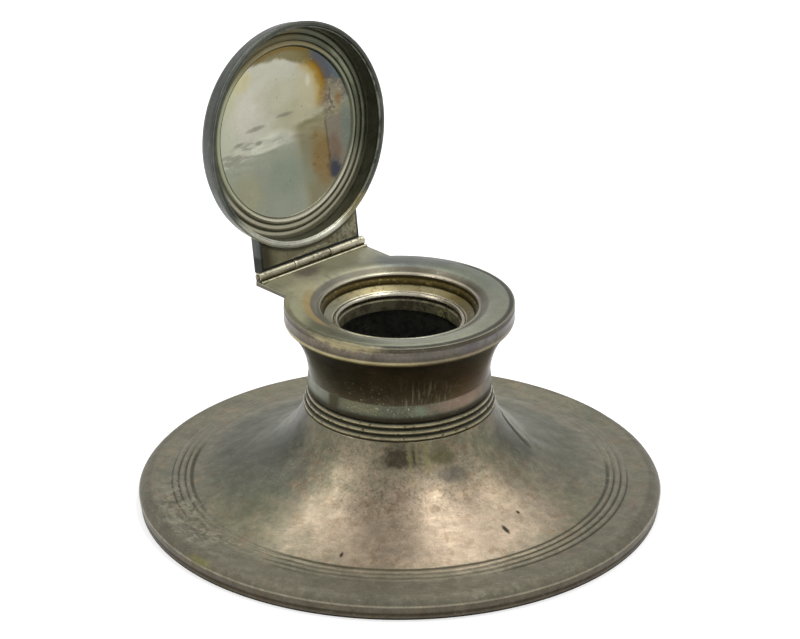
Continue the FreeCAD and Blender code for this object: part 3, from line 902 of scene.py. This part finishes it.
def collar_paint():
    p = Paint("collar_silver_finish", (95, 90, 83), 0.34, spun=0.3)
    angle = p.angle
    z = p.z
    p.layer(p.spot(angle, z, (-42, 51), (24, 5), seed=1) * 0.7, (102, 92, 78))
    p.layer(p.spot(angle, z, (62, 51), (22, 5), seed=2) * 0.6, (88, 87, 86))
    p.layer(p.spot(angle, z, (36, 51.4), (5, 0.8), ragged=0.7, seed=3, grain=1.6) * 0.3, (86, 82, 98))
    p.layer(p.step(p.noise(2.4, 4, 4, warp=0.6), 0.54, 0.66) * 0.6, (78, 70, 60))
    p.layer(p.step(z, 52.4, 52.9) * 0.6, (70, 62, 52), rough=0.45)
    p.layer(p.step(z, 51.2, 50.2) * 0.6, (72, 67, 56), rough=0.4)
    worn = p.spot(angle, z, (-24, 52.6), (18, 0.8), ragged=0.9, seed=5, grain=1.5)
    p.layer(worn * 0.8, (144, 134, 104), rough=0.4)
    # The curl under the band is painted lighter, most on the left: a painted reflection of the bright floor.
    curl_reflection = p.step(z, 49.95, 49.6)
    p.layer(curl_reflection * p.step(angle, 40, -10), (150, 140, 106))
    p.layer(curl_reflection * p.step(angle, -10, 40) * 0.7, (128, 117, 94))
    p.layer(p.step(z, 48.75, 48.45), (60, 50, 34), rough=0.6)
    worn_silver(p, 6, 0.14)
    return p.done()


def plate_paint():
    p = Paint("plate_silver_finish", (112, 113, 96), 0.34, metal=0.85)
    x = p.x
    y = p.y
    radius = p.radius
    angle = p.angle
    p.layer(p.step(p.noise(7, 4, 15, warp=0.6), 0.46, 0.62) * 0.6, (122, 122, 103))
    p.layer(p.spot(x, y, (17, -15), (15, 14), seed=1) * 0.8, (97, 102, 89))
    p.layer(p.spot(x, y, (3, -25), (12, 4), seed=2) * 0.8, (90, 94, 90))
    p.layer(p.spot(x, y, (8, 24), (18, 7), seed=3) * 0.7, (133, 135, 117))
    back = p.step(y, -15, -20) * p.step(x, -4, -11)
    p.layer(back, (120, 118, 99), metal=0.7)
    p.layer(back * p.step(p.noise(4, 4, 4), 0.44, 0.64) * 0.8, (136, 134, 112))
    p.layer(p.spot(x, y, (-11, -25), (3, 6), seed=14) * 0.6, (110, 110, 88))
    p.layer(p.spot(x, y, (-12.5, -28), (3, 3), ragged=0.6, seed=16) * 0.6, (98, 90, 80))
    left_side = p.step(x + y * 0.4, -14, -22)
    p.layer(left_side, (146, 144, 118), rough=0.4, metal=0.45)
    left = p.spot(x, y, (-23, -10), (5, 9), ragged=0.4, seed=5)
    p.layer(left * 0.9, (170, 165, 137), metal=0.4)
    dim = p.spot(x, y, (-24, -19), (4, 5), ragged=0.4, seed=17)
    p.layer(dim * 0.85, (112, 104, 96), rough=0.35, metal=0.7)
    gold = p.between(radius, 21.6, 24.0, 0.6) * p.spot(x, y, (-22.0, 6), (6, 12), ragged=0.2, seed=6)
    p.layer(gold * 0.85, (162, 141, 92), metal=0.4)
    mauve = p.between(radius, 19.9, 21.3, 0.4) * p.step(x, -8, -15) * p.step(y, 12, 4)
    p.layer(mauve * 0.7, (136, 132, 124))
    smear = p.spot(x, y, (-17, -12), (5, 4), ragged=0.4, seed=18)
    grain = p.noise(0.8, 4, 19, at=p.combine((x + y) * 0.12, x - y, 0.0), warp=0.6)
    p.layer(smear * p.step(grain, 0.52, 0.6) * 0.7, (166, 162, 136))
    p.layer(smear * p.step(grain, 0.46, 0.38) * 0.6, (108, 104, 88))
    margin = p.step(radius, collar_radius - 1.8, collar_radius - 1.1) * p.step(y, -24, -21)
    p.layer(margin * p.step(x, -10, -2) * 0.95, (48, 47, 40), rough=0.5)
    p.layer(margin * p.step(x, -2, -12) * p.step(y, -2, 8) * 0.7, (70, 64, 48), rough=0.5)
    cream = p.spot(angle, radius, (-26, 28.3), (20, 0.55), ragged=0.8, seed=7, grain=1.6)
    p.layer(cream * 0.9, (156, 146, 112), rough=0.4)
    edge = p.step(p.z, 53.3, 53.0)
    p.layer(edge * 0.8, (78, 71, 60))
    p.layer(edge * p.spot(angle, p.z, (-28, 53.2), (20, 0.9), ragged=0.8, seed=8), (150, 140, 106))
    line = p.between(p.z, 53.32, 53.45, 0.06) * p.step(radius, 28.0, 28.3)
    p.layer(line * 0.8, (128, 124, 104), rough=0.35)
    brow_finish(p, x, y, radius)
    worn_silver(p, 9, 0.10, 0.003)
    return p.done()


def brow_finish(p, x, y, radius):
    """Turned roll round the mouth: a painted highlight on its crest, brightest at the back, and dull on the
    slope above.
    """
    p.layer(p.step(radius, 22.0, 21.2) * p.step(y, 2, -10) * p.step(x, 12, 0) * 0.5, (88, 86, 71), rough=0.4)
    # Lighter colour on the roll's crest all round: a painted highlight.
    brow_highlight = p.step(radius, 20.75, 20.25)
    p.layer(brow_highlight * p.step(y, 2, -14) * 0.9, (168, 162, 142), rough=0.3)
    p.layer(brow_highlight * p.step(y, -2, -14) * p.step(x, 0, 6) * 0.5, (150, 138, 122), rough=0.3)
    p.layer(brow_highlight * p.step(y, -8, 6) * 0.5, (140, 142, 122), rough=0.3)
    bore = p.step(radius, 19.75, 19.55) * p.step(p.z, 52.0, 51.8)
    p.layer(bore, (80, 70, 42), rough=0.5)


def cove_paint():
    p = Paint("cove_silver_finish", (104, 97, 72), 0.36)
    x = p.x
    y = p.y
    wall = p.step(p.z, 49.75, 50.1)
    p.layer(p.spot(x, y, (-2, -12), (9, 5), seed=1) * 0.7, (128, 118, 86))
    p.layer(p.spot(x, y, (14, -6), (5, 9), seed=2) * 0.7, (96, 84, 48))
    p.layer(p.spot(x, y, (-15, 0), (5, 8), seed=3) * 0.8, (128, 128, 108))
    p.layer(p.step(p.noise(1.6, 4, 7, warp=0.8), 0.56, 0.64) * 0.5, (76, 68, 42), rough=0.5)
    p.layer(wall, (66, 57, 30), rough=0.5)
    p.layer(wall * p.step(p.noise(1.3, 3, 4), 0.56, 0.68) * 0.6, (112, 100, 60))
    p.layer(wall * p.step(p.noise(0.9, 3, 6), 0.56, 0.66) * p.step(y, -12, -16) * 0.7, (44, 38, 20))
    # The lip's roll is painted lighter: partly wear and partly a painted highlight.
    lip_wear_and_sheen = p.step(p.radius, 16.9, 16.6)
    p.layer(lip_wear_and_sheen * 0.95, (158, 154, 138), rough=0.26)
    p.layer(lip_wear_and_sheen * p.step(x, 1, 6) * 0.5, (148, 136, 118), rough=0.26)
    p.layer(lip_wear_and_sheen * p.step(p.noise(3, 3, 5), 0.54, 0.66) * 0.4, (124, 120, 102))
    worn_silver(p, 6, 0.10, 0.0015)
    return p.done()


def throat_paint():
    p = Paint("throat_silver_finish", (124, 120, 95), 0.55, metal=0.6)
    p.layer(p.step(p.noise(2.2, 4, 1), 0.46, 0.60) * 0.8, (78, 74, 54), rough=0.6)
    p.layer(p.step(p.z, 47.2, 48.0) * 0.6, (84, 80, 56), rough=0.6)
    stain = p.step(p.noise(1.2, 4, 3, warp=0.6), 0.52, 0.60)
    p.layer(p.spot(p.x, p.y, (10, -11), (4, 5), seed=2) * stain, (150, 148, 92), rough=0.7, metal=0.3)
    p.layer(p.spot(p.x, p.y, (4, -14), (6, 3), seed=4) * stain * 0.7, (84, 76, 60), rough=0.7)
    worn_silver(p, 3, 0.12)
    return p.done()


def cup_paint():
    p = Paint("ink_stained_finish", (70, 67, 59), 0.6, metal=0.3)
    back = p.step(p.y, 4, -6) * p.step(p.z, 30, 36)
    p.layer(back * 0.8, (30, 34, 26), rough=0.6, metal=0.1)
    blots = p.noise(1.7, 5, 1, warp=1.2)
    p.layer(back * p.step(blots, 0.48, 0.56) * 0.9, (10, 14, 9), rough=0.5, metal=0.0)
    p.layer(p.step(p.noise(2.4, 4, 2, warp=0.8), 0.56, 0.68) * 0.5, (40, 41, 34), rough=0.7, metal=0.0)
    p.layer(p.step(p.noise(0.9, 3, 3), 0.66, 0.74) * 0.4, (98, 96, 82), rough=0.8, metal=0.0)
    worn_silver(p, 4, 0.14)
    return p.done()


def hinge_paint():
    p = Paint("hinge_silver_finish", (172, 167, 146), 0.36)
    p.layer(p.step(p.x, 4, 8), (140, 129, 92), rough=0.4)
    p.layer(p.step(p.noise(3.2, 4, 1), 0.50, 0.66) * 0.6, (138, 132, 110))
    p.layer(p.step(p.noise(1.1, 4, 2), 0.60, 0.68) * 0.7, (84, 76, 58), rough=0.6, metal=0.6)
    # The lower half of the barrels and their pads painted dark and dull: painted shade.
    p.layer(p.step(p.z, 54.5, 54.0), (50, 46, 34), rough=0.7, metal=0.3)
    p.layer(p.step(p.x, -16.6, -17.2) * 0.4, (120, 118, 96))
    p.layer(p.step(p.y, -12, -18) * p.step(p.x, 14.6, 15.2), (70, 71, 66), rough=0.45)
    worn_silver(p, 3, 0.08)
    return p.done()


def pin_paint():
    p = Paint("hinge_pin_finish", (120, 112, 92), 0.4)
    p.layer(p.step(p.noise(0.7, 3, 1), 0.45, 0.6), (70, 62, 46), rough=0.6)
    worn_silver(p, 2)
    return p.done()


def bearer_paint():
    p = Paint("hinge_bearer_finish", (162, 158, 134), 0.4)
    p.layer(p.step(p.noise(2.6, 4, 1), 0.50, 0.64) * 0.8, (120, 114, 93))
    p.layer(p.step(p.z, 53.75, 53.45), (70, 64, 48), rough=0.6)
    p.layer(p.step(p.noise(0.9, 4, 2), 0.64, 0.72) * 0.7, (82, 74, 56), rough=0.6)
    worn_silver(p, 3)
    return p.done()


def lid_knuckle_paint():
    p = Paint("lid_knuckle_finish", (156, 152, 132), 0.36, lid=True)
    p.layer(p.step(p.noise(2.4, 4, 1), 0.50, 0.62) * 0.7, (112, 106, 87))
    p.layer(p.step(p.noise(0.8, 4, 2), 0.58, 0.66) * 0.8, (74, 64, 48), rough=0.7, metal=0.4)
    # The side of the barrel that faces down when the lid is open is painted dark: painted shade.
    p.layer(p.step(p.y, -33.0, -33.5) * 0.7, (70, 64, 48), rough=0.6)
    p.layer(p.step(p.x, -5.3, -5.6) * 0.7, (206, 202, 180), rough=0.3)
    worn_silver(p, 3)
    return p.done()


def lid_rim_paint():
    p = Paint("lid_rim_finish", (66, 69, 63), 0.38, lid=True)
    p.layer(p.step(p.noise(4, 4, 1), 0.45, 0.62) * 0.6, (80, 81, 74))
    # The rim's face on the hinge side, lowest when the lid is open, is painted near white: a painted
    # highlight.
    down = p.step(p.y, -14, -21) * p.step(p.x, 15, 9)
    p.layer(down, (192, 192, 176), rough=0.34, metal=0.8)
    p.layer(down * p.step(p.noise(3.2, 4, 2), 0.56, 0.68) * 0.4, (140, 138, 118))
    p.layer(p.spot(p.x, p.y, (16, -23), (5, 4), seed=3) * 0.6, (140, 130, 92), rough=0.35)
    outer = p.between(p.radius, lid_radius - 0.55, lid_radius - 0.25, 0.1)
    p.layer(outer * 0.5, (116, 117, 108), rough=0.3)
    inner = p.between(p.radius, lid_bore + 0.15, lid_bore + 0.45, 0.1)
    p.layer(inner * p.step(p.noise(3.0, 3, 4), 0.4, 0.55) * 0.7, (126, 127, 112), rough=0.3)
    worn_silver(p, 3, 0.10)
    return p.done()


def lid_side_paint():
    p = Paint("lid_side_finish", (80, 83, 80), 0.4, lid=True)
    inside = p.step(p.radius, lid_bore + 0.3, lid_bore + 0.1)
    p.layer(p.step(p.noise(7, 4, 1), 0.46, 0.64) * 0.6, (68, 71, 70))
    p.layer(p.step(p.z, 56.4, 54.9) * 0.6, (58, 62, 58))
    p.layer(p.step(p.noise(2.4, 4, 2), 0.60, 0.72) * 0.4, (98, 98, 92))
    # The lug's side walls are painted dark: painted shade inside the turned-down sides.
    lug = p.step(p.y, -27.5, -28.6)
    p.layer(lug * 0.95, (48, 50, 46), rough=0.5)
    p.layer(lug * p.step(p.z, 57.0, 57.5) * 0.8, (104, 104, 98), rough=0.35)
    p.layer(inside, (88, 88, 72), rough=0.5, metal=0.8)
    p.layer(inside * p.step(p.noise(3.2, 4, 3), 0.5, 0.64) * 0.6, (66, 64, 50), rough=0.55)
    # Lighter band at the top of the inside wall, where a bead's crest would show: a painted highlight.
    p.layer(inside * p.step(p.z, 57.9, 58.3) * 0.7, (128, 128, 112))
    worn_silver(p, 4, 0.08)
    return p.done()


def lug_plate_paint():
    p = Paint("lug_plate_finish", (126, 122, 96), 0.45, metal=0.8, lid=True)
    p.layer(p.step(p.noise(6, 4, 1), 0.46, 0.64) * 0.8, (142, 138, 114))
    # The plate's left end is painted dark: painted shade beside the lug's left wall.
    p.layer(p.step(p.x, -11.5, -14.5) * 0.85, (60, 57, 42))
    p.layer(p.spot(p.x, p.y, (12, -30), (5, 3), seed=3) * 0.6, (132, 130, 110))
    # Dark band on the plate right next to the rim: a painted shadow under the rim.
    p.layer(p.step(p.radius, lid_radius + 1.2, lid_radius + 0.3) * 0.8, (50, 48, 36), rough=0.6)
    solder = p.spot(p.x, p.y, (1, -31.0), (6, 0.8), ragged=0.8, seed=5, grain=1.2)
    p.layer(solder * 0.8, (150, 146, 122), rough=0.5, height=0.3)
    p.layer(solder * p.step(p.noise(0.5, 3, 6), 0.5, 0.6) * 0.6, (80, 72, 54), height=-0.3)
    p.layer(p.step(p.noise(1.8, 4, 3), 0.62, 0.72) * 0.5, (70, 64, 46), rough=0.6)
    stain = p.step(p.noise(1.5, 5, 7, warp=1.0), 0.48, 0.60) * p.step(p.x, 0, 9)
    p.layer(stain * 0.7, (84, 77, 52), rough=0.6)
    worn_silver(p, 4, 0.08)
    return p.done()


def dome_paint():
    """The lid's disc: tarnish that runs from cream through amber and purple to blue at the right, with a
    painted reflection that darkens the lower part below a streaked band, a painted glint, and painted
    highlight and shade on the ring's lower side.
    """
    p = Paint("dome_silver_finish", (163, 162, 147), 0.24, lid=True)
    a = p.x
    b = p.y
    radius = p.radius
    wide = p.noise(7, 3, 1) - 0.5
    small = p.noise(2.2, 3, 2) - 0.5
    p.layer(p.spot(a, b, (-12, 8), (6, 5), ragged=0.2, seed=20) * 0.6, (174, 168, 156))
    p.layer(p.step(a, -12, -18) * p.step(b, 6, 12) * 0.7, (164, 160, 120))
    p.layer(p.spot(a, b, (-13, 16), (4, 3), ragged=0.2, seed=21) * 0.6, (166, 158, 112))
    p.layer(p.spot(a, b, (3, 9), (9, 5), ragged=0.3, seed=29) * 0.7, (152, 150, 127))
    p.layer(p.spot(a, b, (7, 2.5), (9, 4), ragged=0.3, seed=22) * 0.8, (146, 143, 116))
    p.layer(p.step(a, -13, -18) * 0.5, (146, 149, 128))
    far = p.math("SQRT", (a - 4.0) * (a - 4.0) + (b - 7.0) * (b - 7.0))
    film = p.step(far + wide * 3.0 + small * 1.2, 7.0, 15.0)
    tints = p.ramp(film, [
        (0.0, (156, 150, 124)), (0.16, (150, 136, 92)), (0.30, (130, 108, 58)),
        (0.44, (124, 96, 30)), (0.56, (98, 74, 40)), (0.68, (80, 76, 68)),
        (0.86, (72, 76, 82)), (1.0, (78, 86, 86))])
    ring_side = p.step(a + wide * 3.0, 5.0, 9.5) * p.step(b + wide * 3.0, 2.0, 5.5)
    p.colour = p.mix(p.colour, tints, ring_side)
    top_edge = b + wide * 2.0 + small * 1.0 + p.math("MAXIMUM", a, 0.0) * 0.38
    top = p.step(top_edge, 18.4, 19.6) * p.step(a, 12, 8) * p.step(a, -12, -6)
    p.layer(top * 0.9, (98, 90, 56))
    p.layer(top * p.step(radius, 19.8, 21.2) * 0.8, (98, 80, 36))
    # The lower part of the disc is painted darker grey-green: a painted reflection of the ground below the
    # lid.
    low = p.step(b - a * 0.03 + wide * 1.2, -3.4, -4.4) * p.step(a, 7, 3)
    p.layer(low * 0.9, (132, 136, 119))
    low_right = p.step(b + small * 2.0 - a * 0.2, -0.4, -1.6) * p.step(a, 3, 7)
    p.layer(low_right * 0.85, (116, 111, 82))
    p.layer(p.spot(a, b, (1, -12), (7, 5), ragged=0.2, seed=3) * 0.6, (122, 131, 114))
    p.layer(p.spot(a, b, (-14, -13), (5, 5), ragged=0.2, seed=23) * 0.6, (146, 143, 112))
    brown = p.spot(a, b, (12.2, -10), (3.2, 7), ragged=0.3, seed=4)
    p.layer(brown * 0.8, (122, 98, 58))
    p.layer(brown * p.step(p.noise(1.8, 4, 24), 0.54, 0.66) * 0.6, (96, 78, 46))
    right = p.step(a + small * 1.6, 14.2, 15.0)
    p.layer(right * p.step(b, 2, -1) * 0.95, (120, 114, 100), rough=0.45)
    p.layer(right * p.spot(a, b, (16.4, -8), (1.6, 3), seed=25) * 0.7, (112, 92, 76), rough=0.45)
    p.layer(p.spot(a, b, (20.4, -5), (1.6, 9), ragged=0.2, seed=26) * 0.8, (104, 114, 104))
    edge_line = p.between(a + small * 1.6, 14.0, 14.7, 0.3) * p.step(b, 1, -1) * p.step(b, -12, -10)
    p.layer(edge_line * 0.6, (82, 66, 44))
    p.layer(p.spot(a, b, (15.3, -13.8), (1.7, 2.9), ragged=0.5, seed=5, grain=2) * 0.85, (48, 52, 68))
    rough = p.spot(a, b, (17.2, 5.0), (3.0, 4.0), ragged=0.5, seed=6, grain=2)
    p.layer(rough * 0.9, (138, 130, 106), rough=0.5)
    p.layer(rough * p.step(p.noise(1.6, 4, 7, warp=1.0), 0.46, 0.56) * 0.8, (94, 84, 76), rough=0.5)
    p.layer(rough * p.step(p.noise(1.1, 4, 37, warp=1.0), 0.56, 0.64) * 0.7, (160, 152, 126), rough=0.5)
    rust = p.spot(a, b, (18.6, 4.0), (0.8, 1.6), ragged=0.5, seed=27, grain=1)
    p.layer(rust * 0.6, (132, 98, 58), rough=0.5)
    # Light and dark streaks in a band below the middle of the disc: a painted reflection of the line where
    # the bright background meets the ground, broken up by the sheet's creases.
    streaks = p.noise(1.5, 4, 9, at=p.combine(a * 0.16, b - wide * 3.0, 0.0))
    sloped = b - a * 0.06
    band = p.step(sloped, -4.6, -3.2) * p.step(sloped, 1.4, -0.6) * p.step(a, 4, -3)
    p.layer(band * p.step(streaks, 0.48, 0.58) * 0.8, (178, 179, 162))
    p.layer(band * p.step(streaks, 0.46, 0.38) * 0.6, (112, 112, 98))
    smudges = (((-8, 2.5), (3.0, 0.6)), ((2, 3.7), (2.6, 0.5)), ((-14.5, 0.1), (1.8, 0.4)),
               ((-7.4, -1.3), (1.2, 0.5)))
    for middle, size in smudges:
        p.layer(p.spot(a, b, middle, size, ragged=0.25, seed=10, grain=1.2) * 0.65, (104, 104, 90))
    # Small near-white spot: a painted glint.
    p.layer(p.spot(a, b, (9.8, 11), (0.7, 1.6), ragged=0.2, seed=28) * 0.4, (186, 184, 170), rough=0.24)
    ring = p.step(radius, 21.6, 21.9)
    reeds = groove_phase(p, radius, dome_ring_radius, (dome_ledge_radius - dome_ring_radius) / 3)
    p.layer(ring, (84, 86, 71), rough=0.42)
    # On the ring's lower side the colour is painted as if lit: lighter overall, with painted highlights on
    # the crests and the bead and painted shade in the grooves.
    low_side = p.step(b, -6, -17)
    p.layer(ring * low_side * 0.9, (158, 154, 133))
    p.layer(ring * p.step(b, 12, 20) * p.step(a, 10, 4) * 0.6, (92, 82, 54))
    grooves = ring * p.step(reeds, 0.55, 0.95)
    # Dark grooves on the lower side only: painted shade.
    p.layer(grooves * low_side * 0.9, (50, 50, 38), rough=0.5)
    # Light crests on the lower side: painted highlights.
    crest_highlights = ring * p.step(reeds, 0.35, 0.0) * low_side
    p.layer(crest_highlights * 0.6, (184, 180, 160), rough=0.3)
    gleam = ring * p.spot(p.angle, radius, (58, 24.4), (16, 0.8), ragged=0.5, seed=31)
    p.layer(gleam * 0.6, (140, 144, 120))
    bead = ring * p.between(radius, 22.2, 23.1, 0.2)
    p.layer(bead * 0.8, (128, 131, 110), rough=0.3)
    # Near-white bead on the lower side: a painted highlight.
    p.layer(bead * low_side * 0.9, (196, 192, 174), rough=0.26)
    p.layer(bead * p.step(a, -8, -16) * 0.7, (150, 152, 122), rough=0.3)
    p.layer(bead * p.step(b, 14, 20) * 0.7, (112, 98, 66), rough=0.3)
    dome_outside(p, radius)
    worn_silver(p, 12, 0.04, 0.002)
    return p.done()


def dome_outside(p, radius):
    """The lid's top: plain worn silver over everything that is the inside's alone."""
    cap = radius * radius * (-dome_height / dome_field_radius ** 2) + (dome_ring_top + dome_height)
    above = p.z - p.math("MAXIMUM", cap, dome_ring_top)
    outside = p.step(above, -0.45, -0.25)
    p.layer(outside, (116, 117, 102), rough=0.36)
    p.layer(outside * p.step(p.noise(6, 4, 40), 0.46, 0.64) * 0.7, (94, 94, 80), rough=0.42)
    p.layer(outside * p.step(p.noise(2.0, 4, 41, warp=0.8), 0.56, 0.66) * 0.5, (134, 132, 114))
    reeds = groove_phase(p, radius, dome_seat_radius - dome_reed_gap, dome_reed_width)
    grooves = outside * p.step(radius, dome_field_radius - 0.2, dome_field_radius) * p.step(reeds, 0.5, 0.95)
    p.layer(grooves * 0.85, (50, 50, 38), rough=0.5)


def board_paint():
    p = Paint("base_board_finish", (92, 64, 40), 0.7, metal=0.0)
    grain = p.noise(1.2, 5, 1, at=p.combine(p.x * 0.08, p.y, p.z), warp=0.4)
    p.layer(p.step(grain, 0.42, 0.62), (62, 42, 26))
    p.layer(p.step(p.noise(9, 3, 2), 0.5, 0.7) * 0.5, (112, 84, 56))
    p.layer(p.specks(2.4, 0.2, 3), (38, 26, 18), height=-0.05)
    p.height = p.height + grain * 0.06
    return p.done()


def pitch_paint():
    p = Paint("pitch_finish", (28, 24, 20), 0.55, metal=0.0)
    p.layer(p.step(p.noise(4, 4, 1), 0.5, 0.65), (44, 36, 28), rough=0.75)
    p.height = p.height + p.noise(2.5, 3, 2) * 0.3
    return p.done()


def floor_paint():
    material = bpy.data.materials.new("floor_finish")
    material.use_nodes = True
    tree = material.node_tree
    shader = tree.nodes["Principled BSDF"]
    shader.inputs["Base Color"].default_value = (floor_colour,) * 3 + (1,)
    shader.inputs["Roughness"].default_value = 0.9
    shader.inputs["Specular IOR Level"].default_value = 0.0
    shader.inputs["Emission Color"].default_value = (1, 1, 1, 1)
    glow = seen_directly(tree, 0.0, floor_glow)
    tree.links.new(glow, shader.inputs["Emission Strength"])
    return material


def seen_directly(tree, lighting, seen):
    """A number that is one value for rays that light things and another for what is seen,
    straight or in a reflection or through glass."""
    path = tree.nodes.new("ShaderNodeLightPath")
    share = path.outputs["Is Camera Ray"]
    for name in ("Is Glossy Ray", "Is Transmission Ray"):
        most = tree.nodes.new("ShaderNodeMath")
        most.operation = "MAXIMUM"
        tree.links.new(share, most.inputs[0])
        tree.links.new(path.outputs[name], most.inputs[1])
        share = most.outputs[0]
    span = tree.nodes.new("ShaderNodeMapRange")
    span.inputs["To Min"].default_value = lighting
    span.inputs["To Max"].default_value = seen
    tree.links.new(share, span.inputs["Value"])
    return span.outputs[0]


# Stage
floor_size = 6.0
floor_colour = 0.75
floor_glow = 0.45
world_light = 0.45


def make_world():
    world = bpy.data.worlds.new("studio")
    bpy.context.scene.world = world
    world.use_nodes = True
    tree = world.node_tree
    back = tree.nodes["Background"]
    back.inputs["Color"].default_value = (1, 1, 1, 1)
    tree.links.new(seen_directly(tree, world_light, 1.0), back.inputs["Strength"])


def make_floor():
    mesh = bmesh.new()
    bmesh.ops.create_grid(mesh, x_segments=8, y_segments=8, size=floor_size / 2)
    floor = finished("floor", mesh)
    floor.data.materials.append(floor_paint())


def strip_light(name, near, far, width, strength):
    """Long soft panel overhead between two ends, in metres right of, behind and above the object."""
    turn = Matrix.Rotation(math.radians(-front_turn), 3, "Z")
    near = turn @ Vector(near)
    far = turn @ Vector(far)
    data = bpy.data.lights.new(name, "AREA")
    data.shape = "RECTANGLE"
    data.size = (far - near).length
    data.size_y = width
    data.energy = strength
    light = bpy.data.objects.new(name, data)
    middle = (near + far) / 2
    along = (far - near).normalized()
    back = (middle - Vector((0, 0, 40 * MM))).normalized()
    across = back.cross(along).normalized()
    facing = along.cross(across)
    turned = Matrix((along, across, facing)).transposed().to_4x4()
    light.matrix_world = Matrix.Translation(middle) @ turned
    light.visible_camera = False
    bpy.context.scene.collection.objects.link(light)


def make_camera():
    turn = math.radians(front_turn)
    rise = math.radians(camera_height_angle)
    level = camera_distance * math.cos(rise)
    place = Vector((-level * math.sin(turn), -level * math.cos(turn), camera_distance * math.sin(rise)))
    data = bpy.data.cameras.new("camera")
    data.lens = lens_length
    data.sensor_width = sensor_width
    data.clip_end = 20.0
    camera = bpy.data.objects.new("camera", data)
    bpy.context.scene.collection.objects.link(camera)
    aim = (look_at - place).to_track_quat("-Z", "Y").to_matrix().to_4x4()
    roll = Matrix.Rotation(math.radians(camera_roll), 4, "Z")
    camera.matrix_world = Matrix.Translation(place) @ aim @ roll
    bpy.context.scene.camera = camera


def dress(target, material):
    target.data.materials.clear()
    target.data.materials.append(material)


make_camera()
make_world()
make_floor()
strip_light("left_strip", (-0.95, -0.45, 1.0), (-0.20, 0.64, 1.0), 0.28, 5.6)
strip_light("right_strip", (0.40, -0.45, 1.0), (0.08, 0.66, 1.0), 0.11, 5.0)
strip_light("far_right_strip", (0.90, 0.05, 1.0), (0.40, 0.62, 1.0), 0.20, 1.8)
bpy.context.scene.view_settings.view_transform = "Standard"

dress(make_foot(), foot_paint())
dress(make_reeding(), reeding_paint())
dress(make_neck(), neck_paint())
dress(make_collar(), collar_paint())
dress(make_dome(), dome_paint())
dress(make_rim(), lid_rim_paint())

left_knuckle, right_knuckle, middle_knuckle = make_knuckles()
hinge_metal = hinge_paint()
dress(left_knuckle, hinge_metal)
dress(right_knuckle, hinge_metal)
dress(middle_knuckle, lid_knuckle_paint())
for node, material in {
        "mouth_plate": plate_paint(),
        "mouth_cove": cove_paint(),
        "throat_ring": throat_paint(),
        "well_cup": cup_paint(),
        "hinge_pin": pin_paint(),
        "hinge_bearer": bearer_paint(),
        "lid_skirt": lid_side_paint(),
        "lid_lug_plate": lug_plate_paint(),
        "base_board": board_paint(),
        "loading": pitch_paint()}.items():
    dress(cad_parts[node], material)
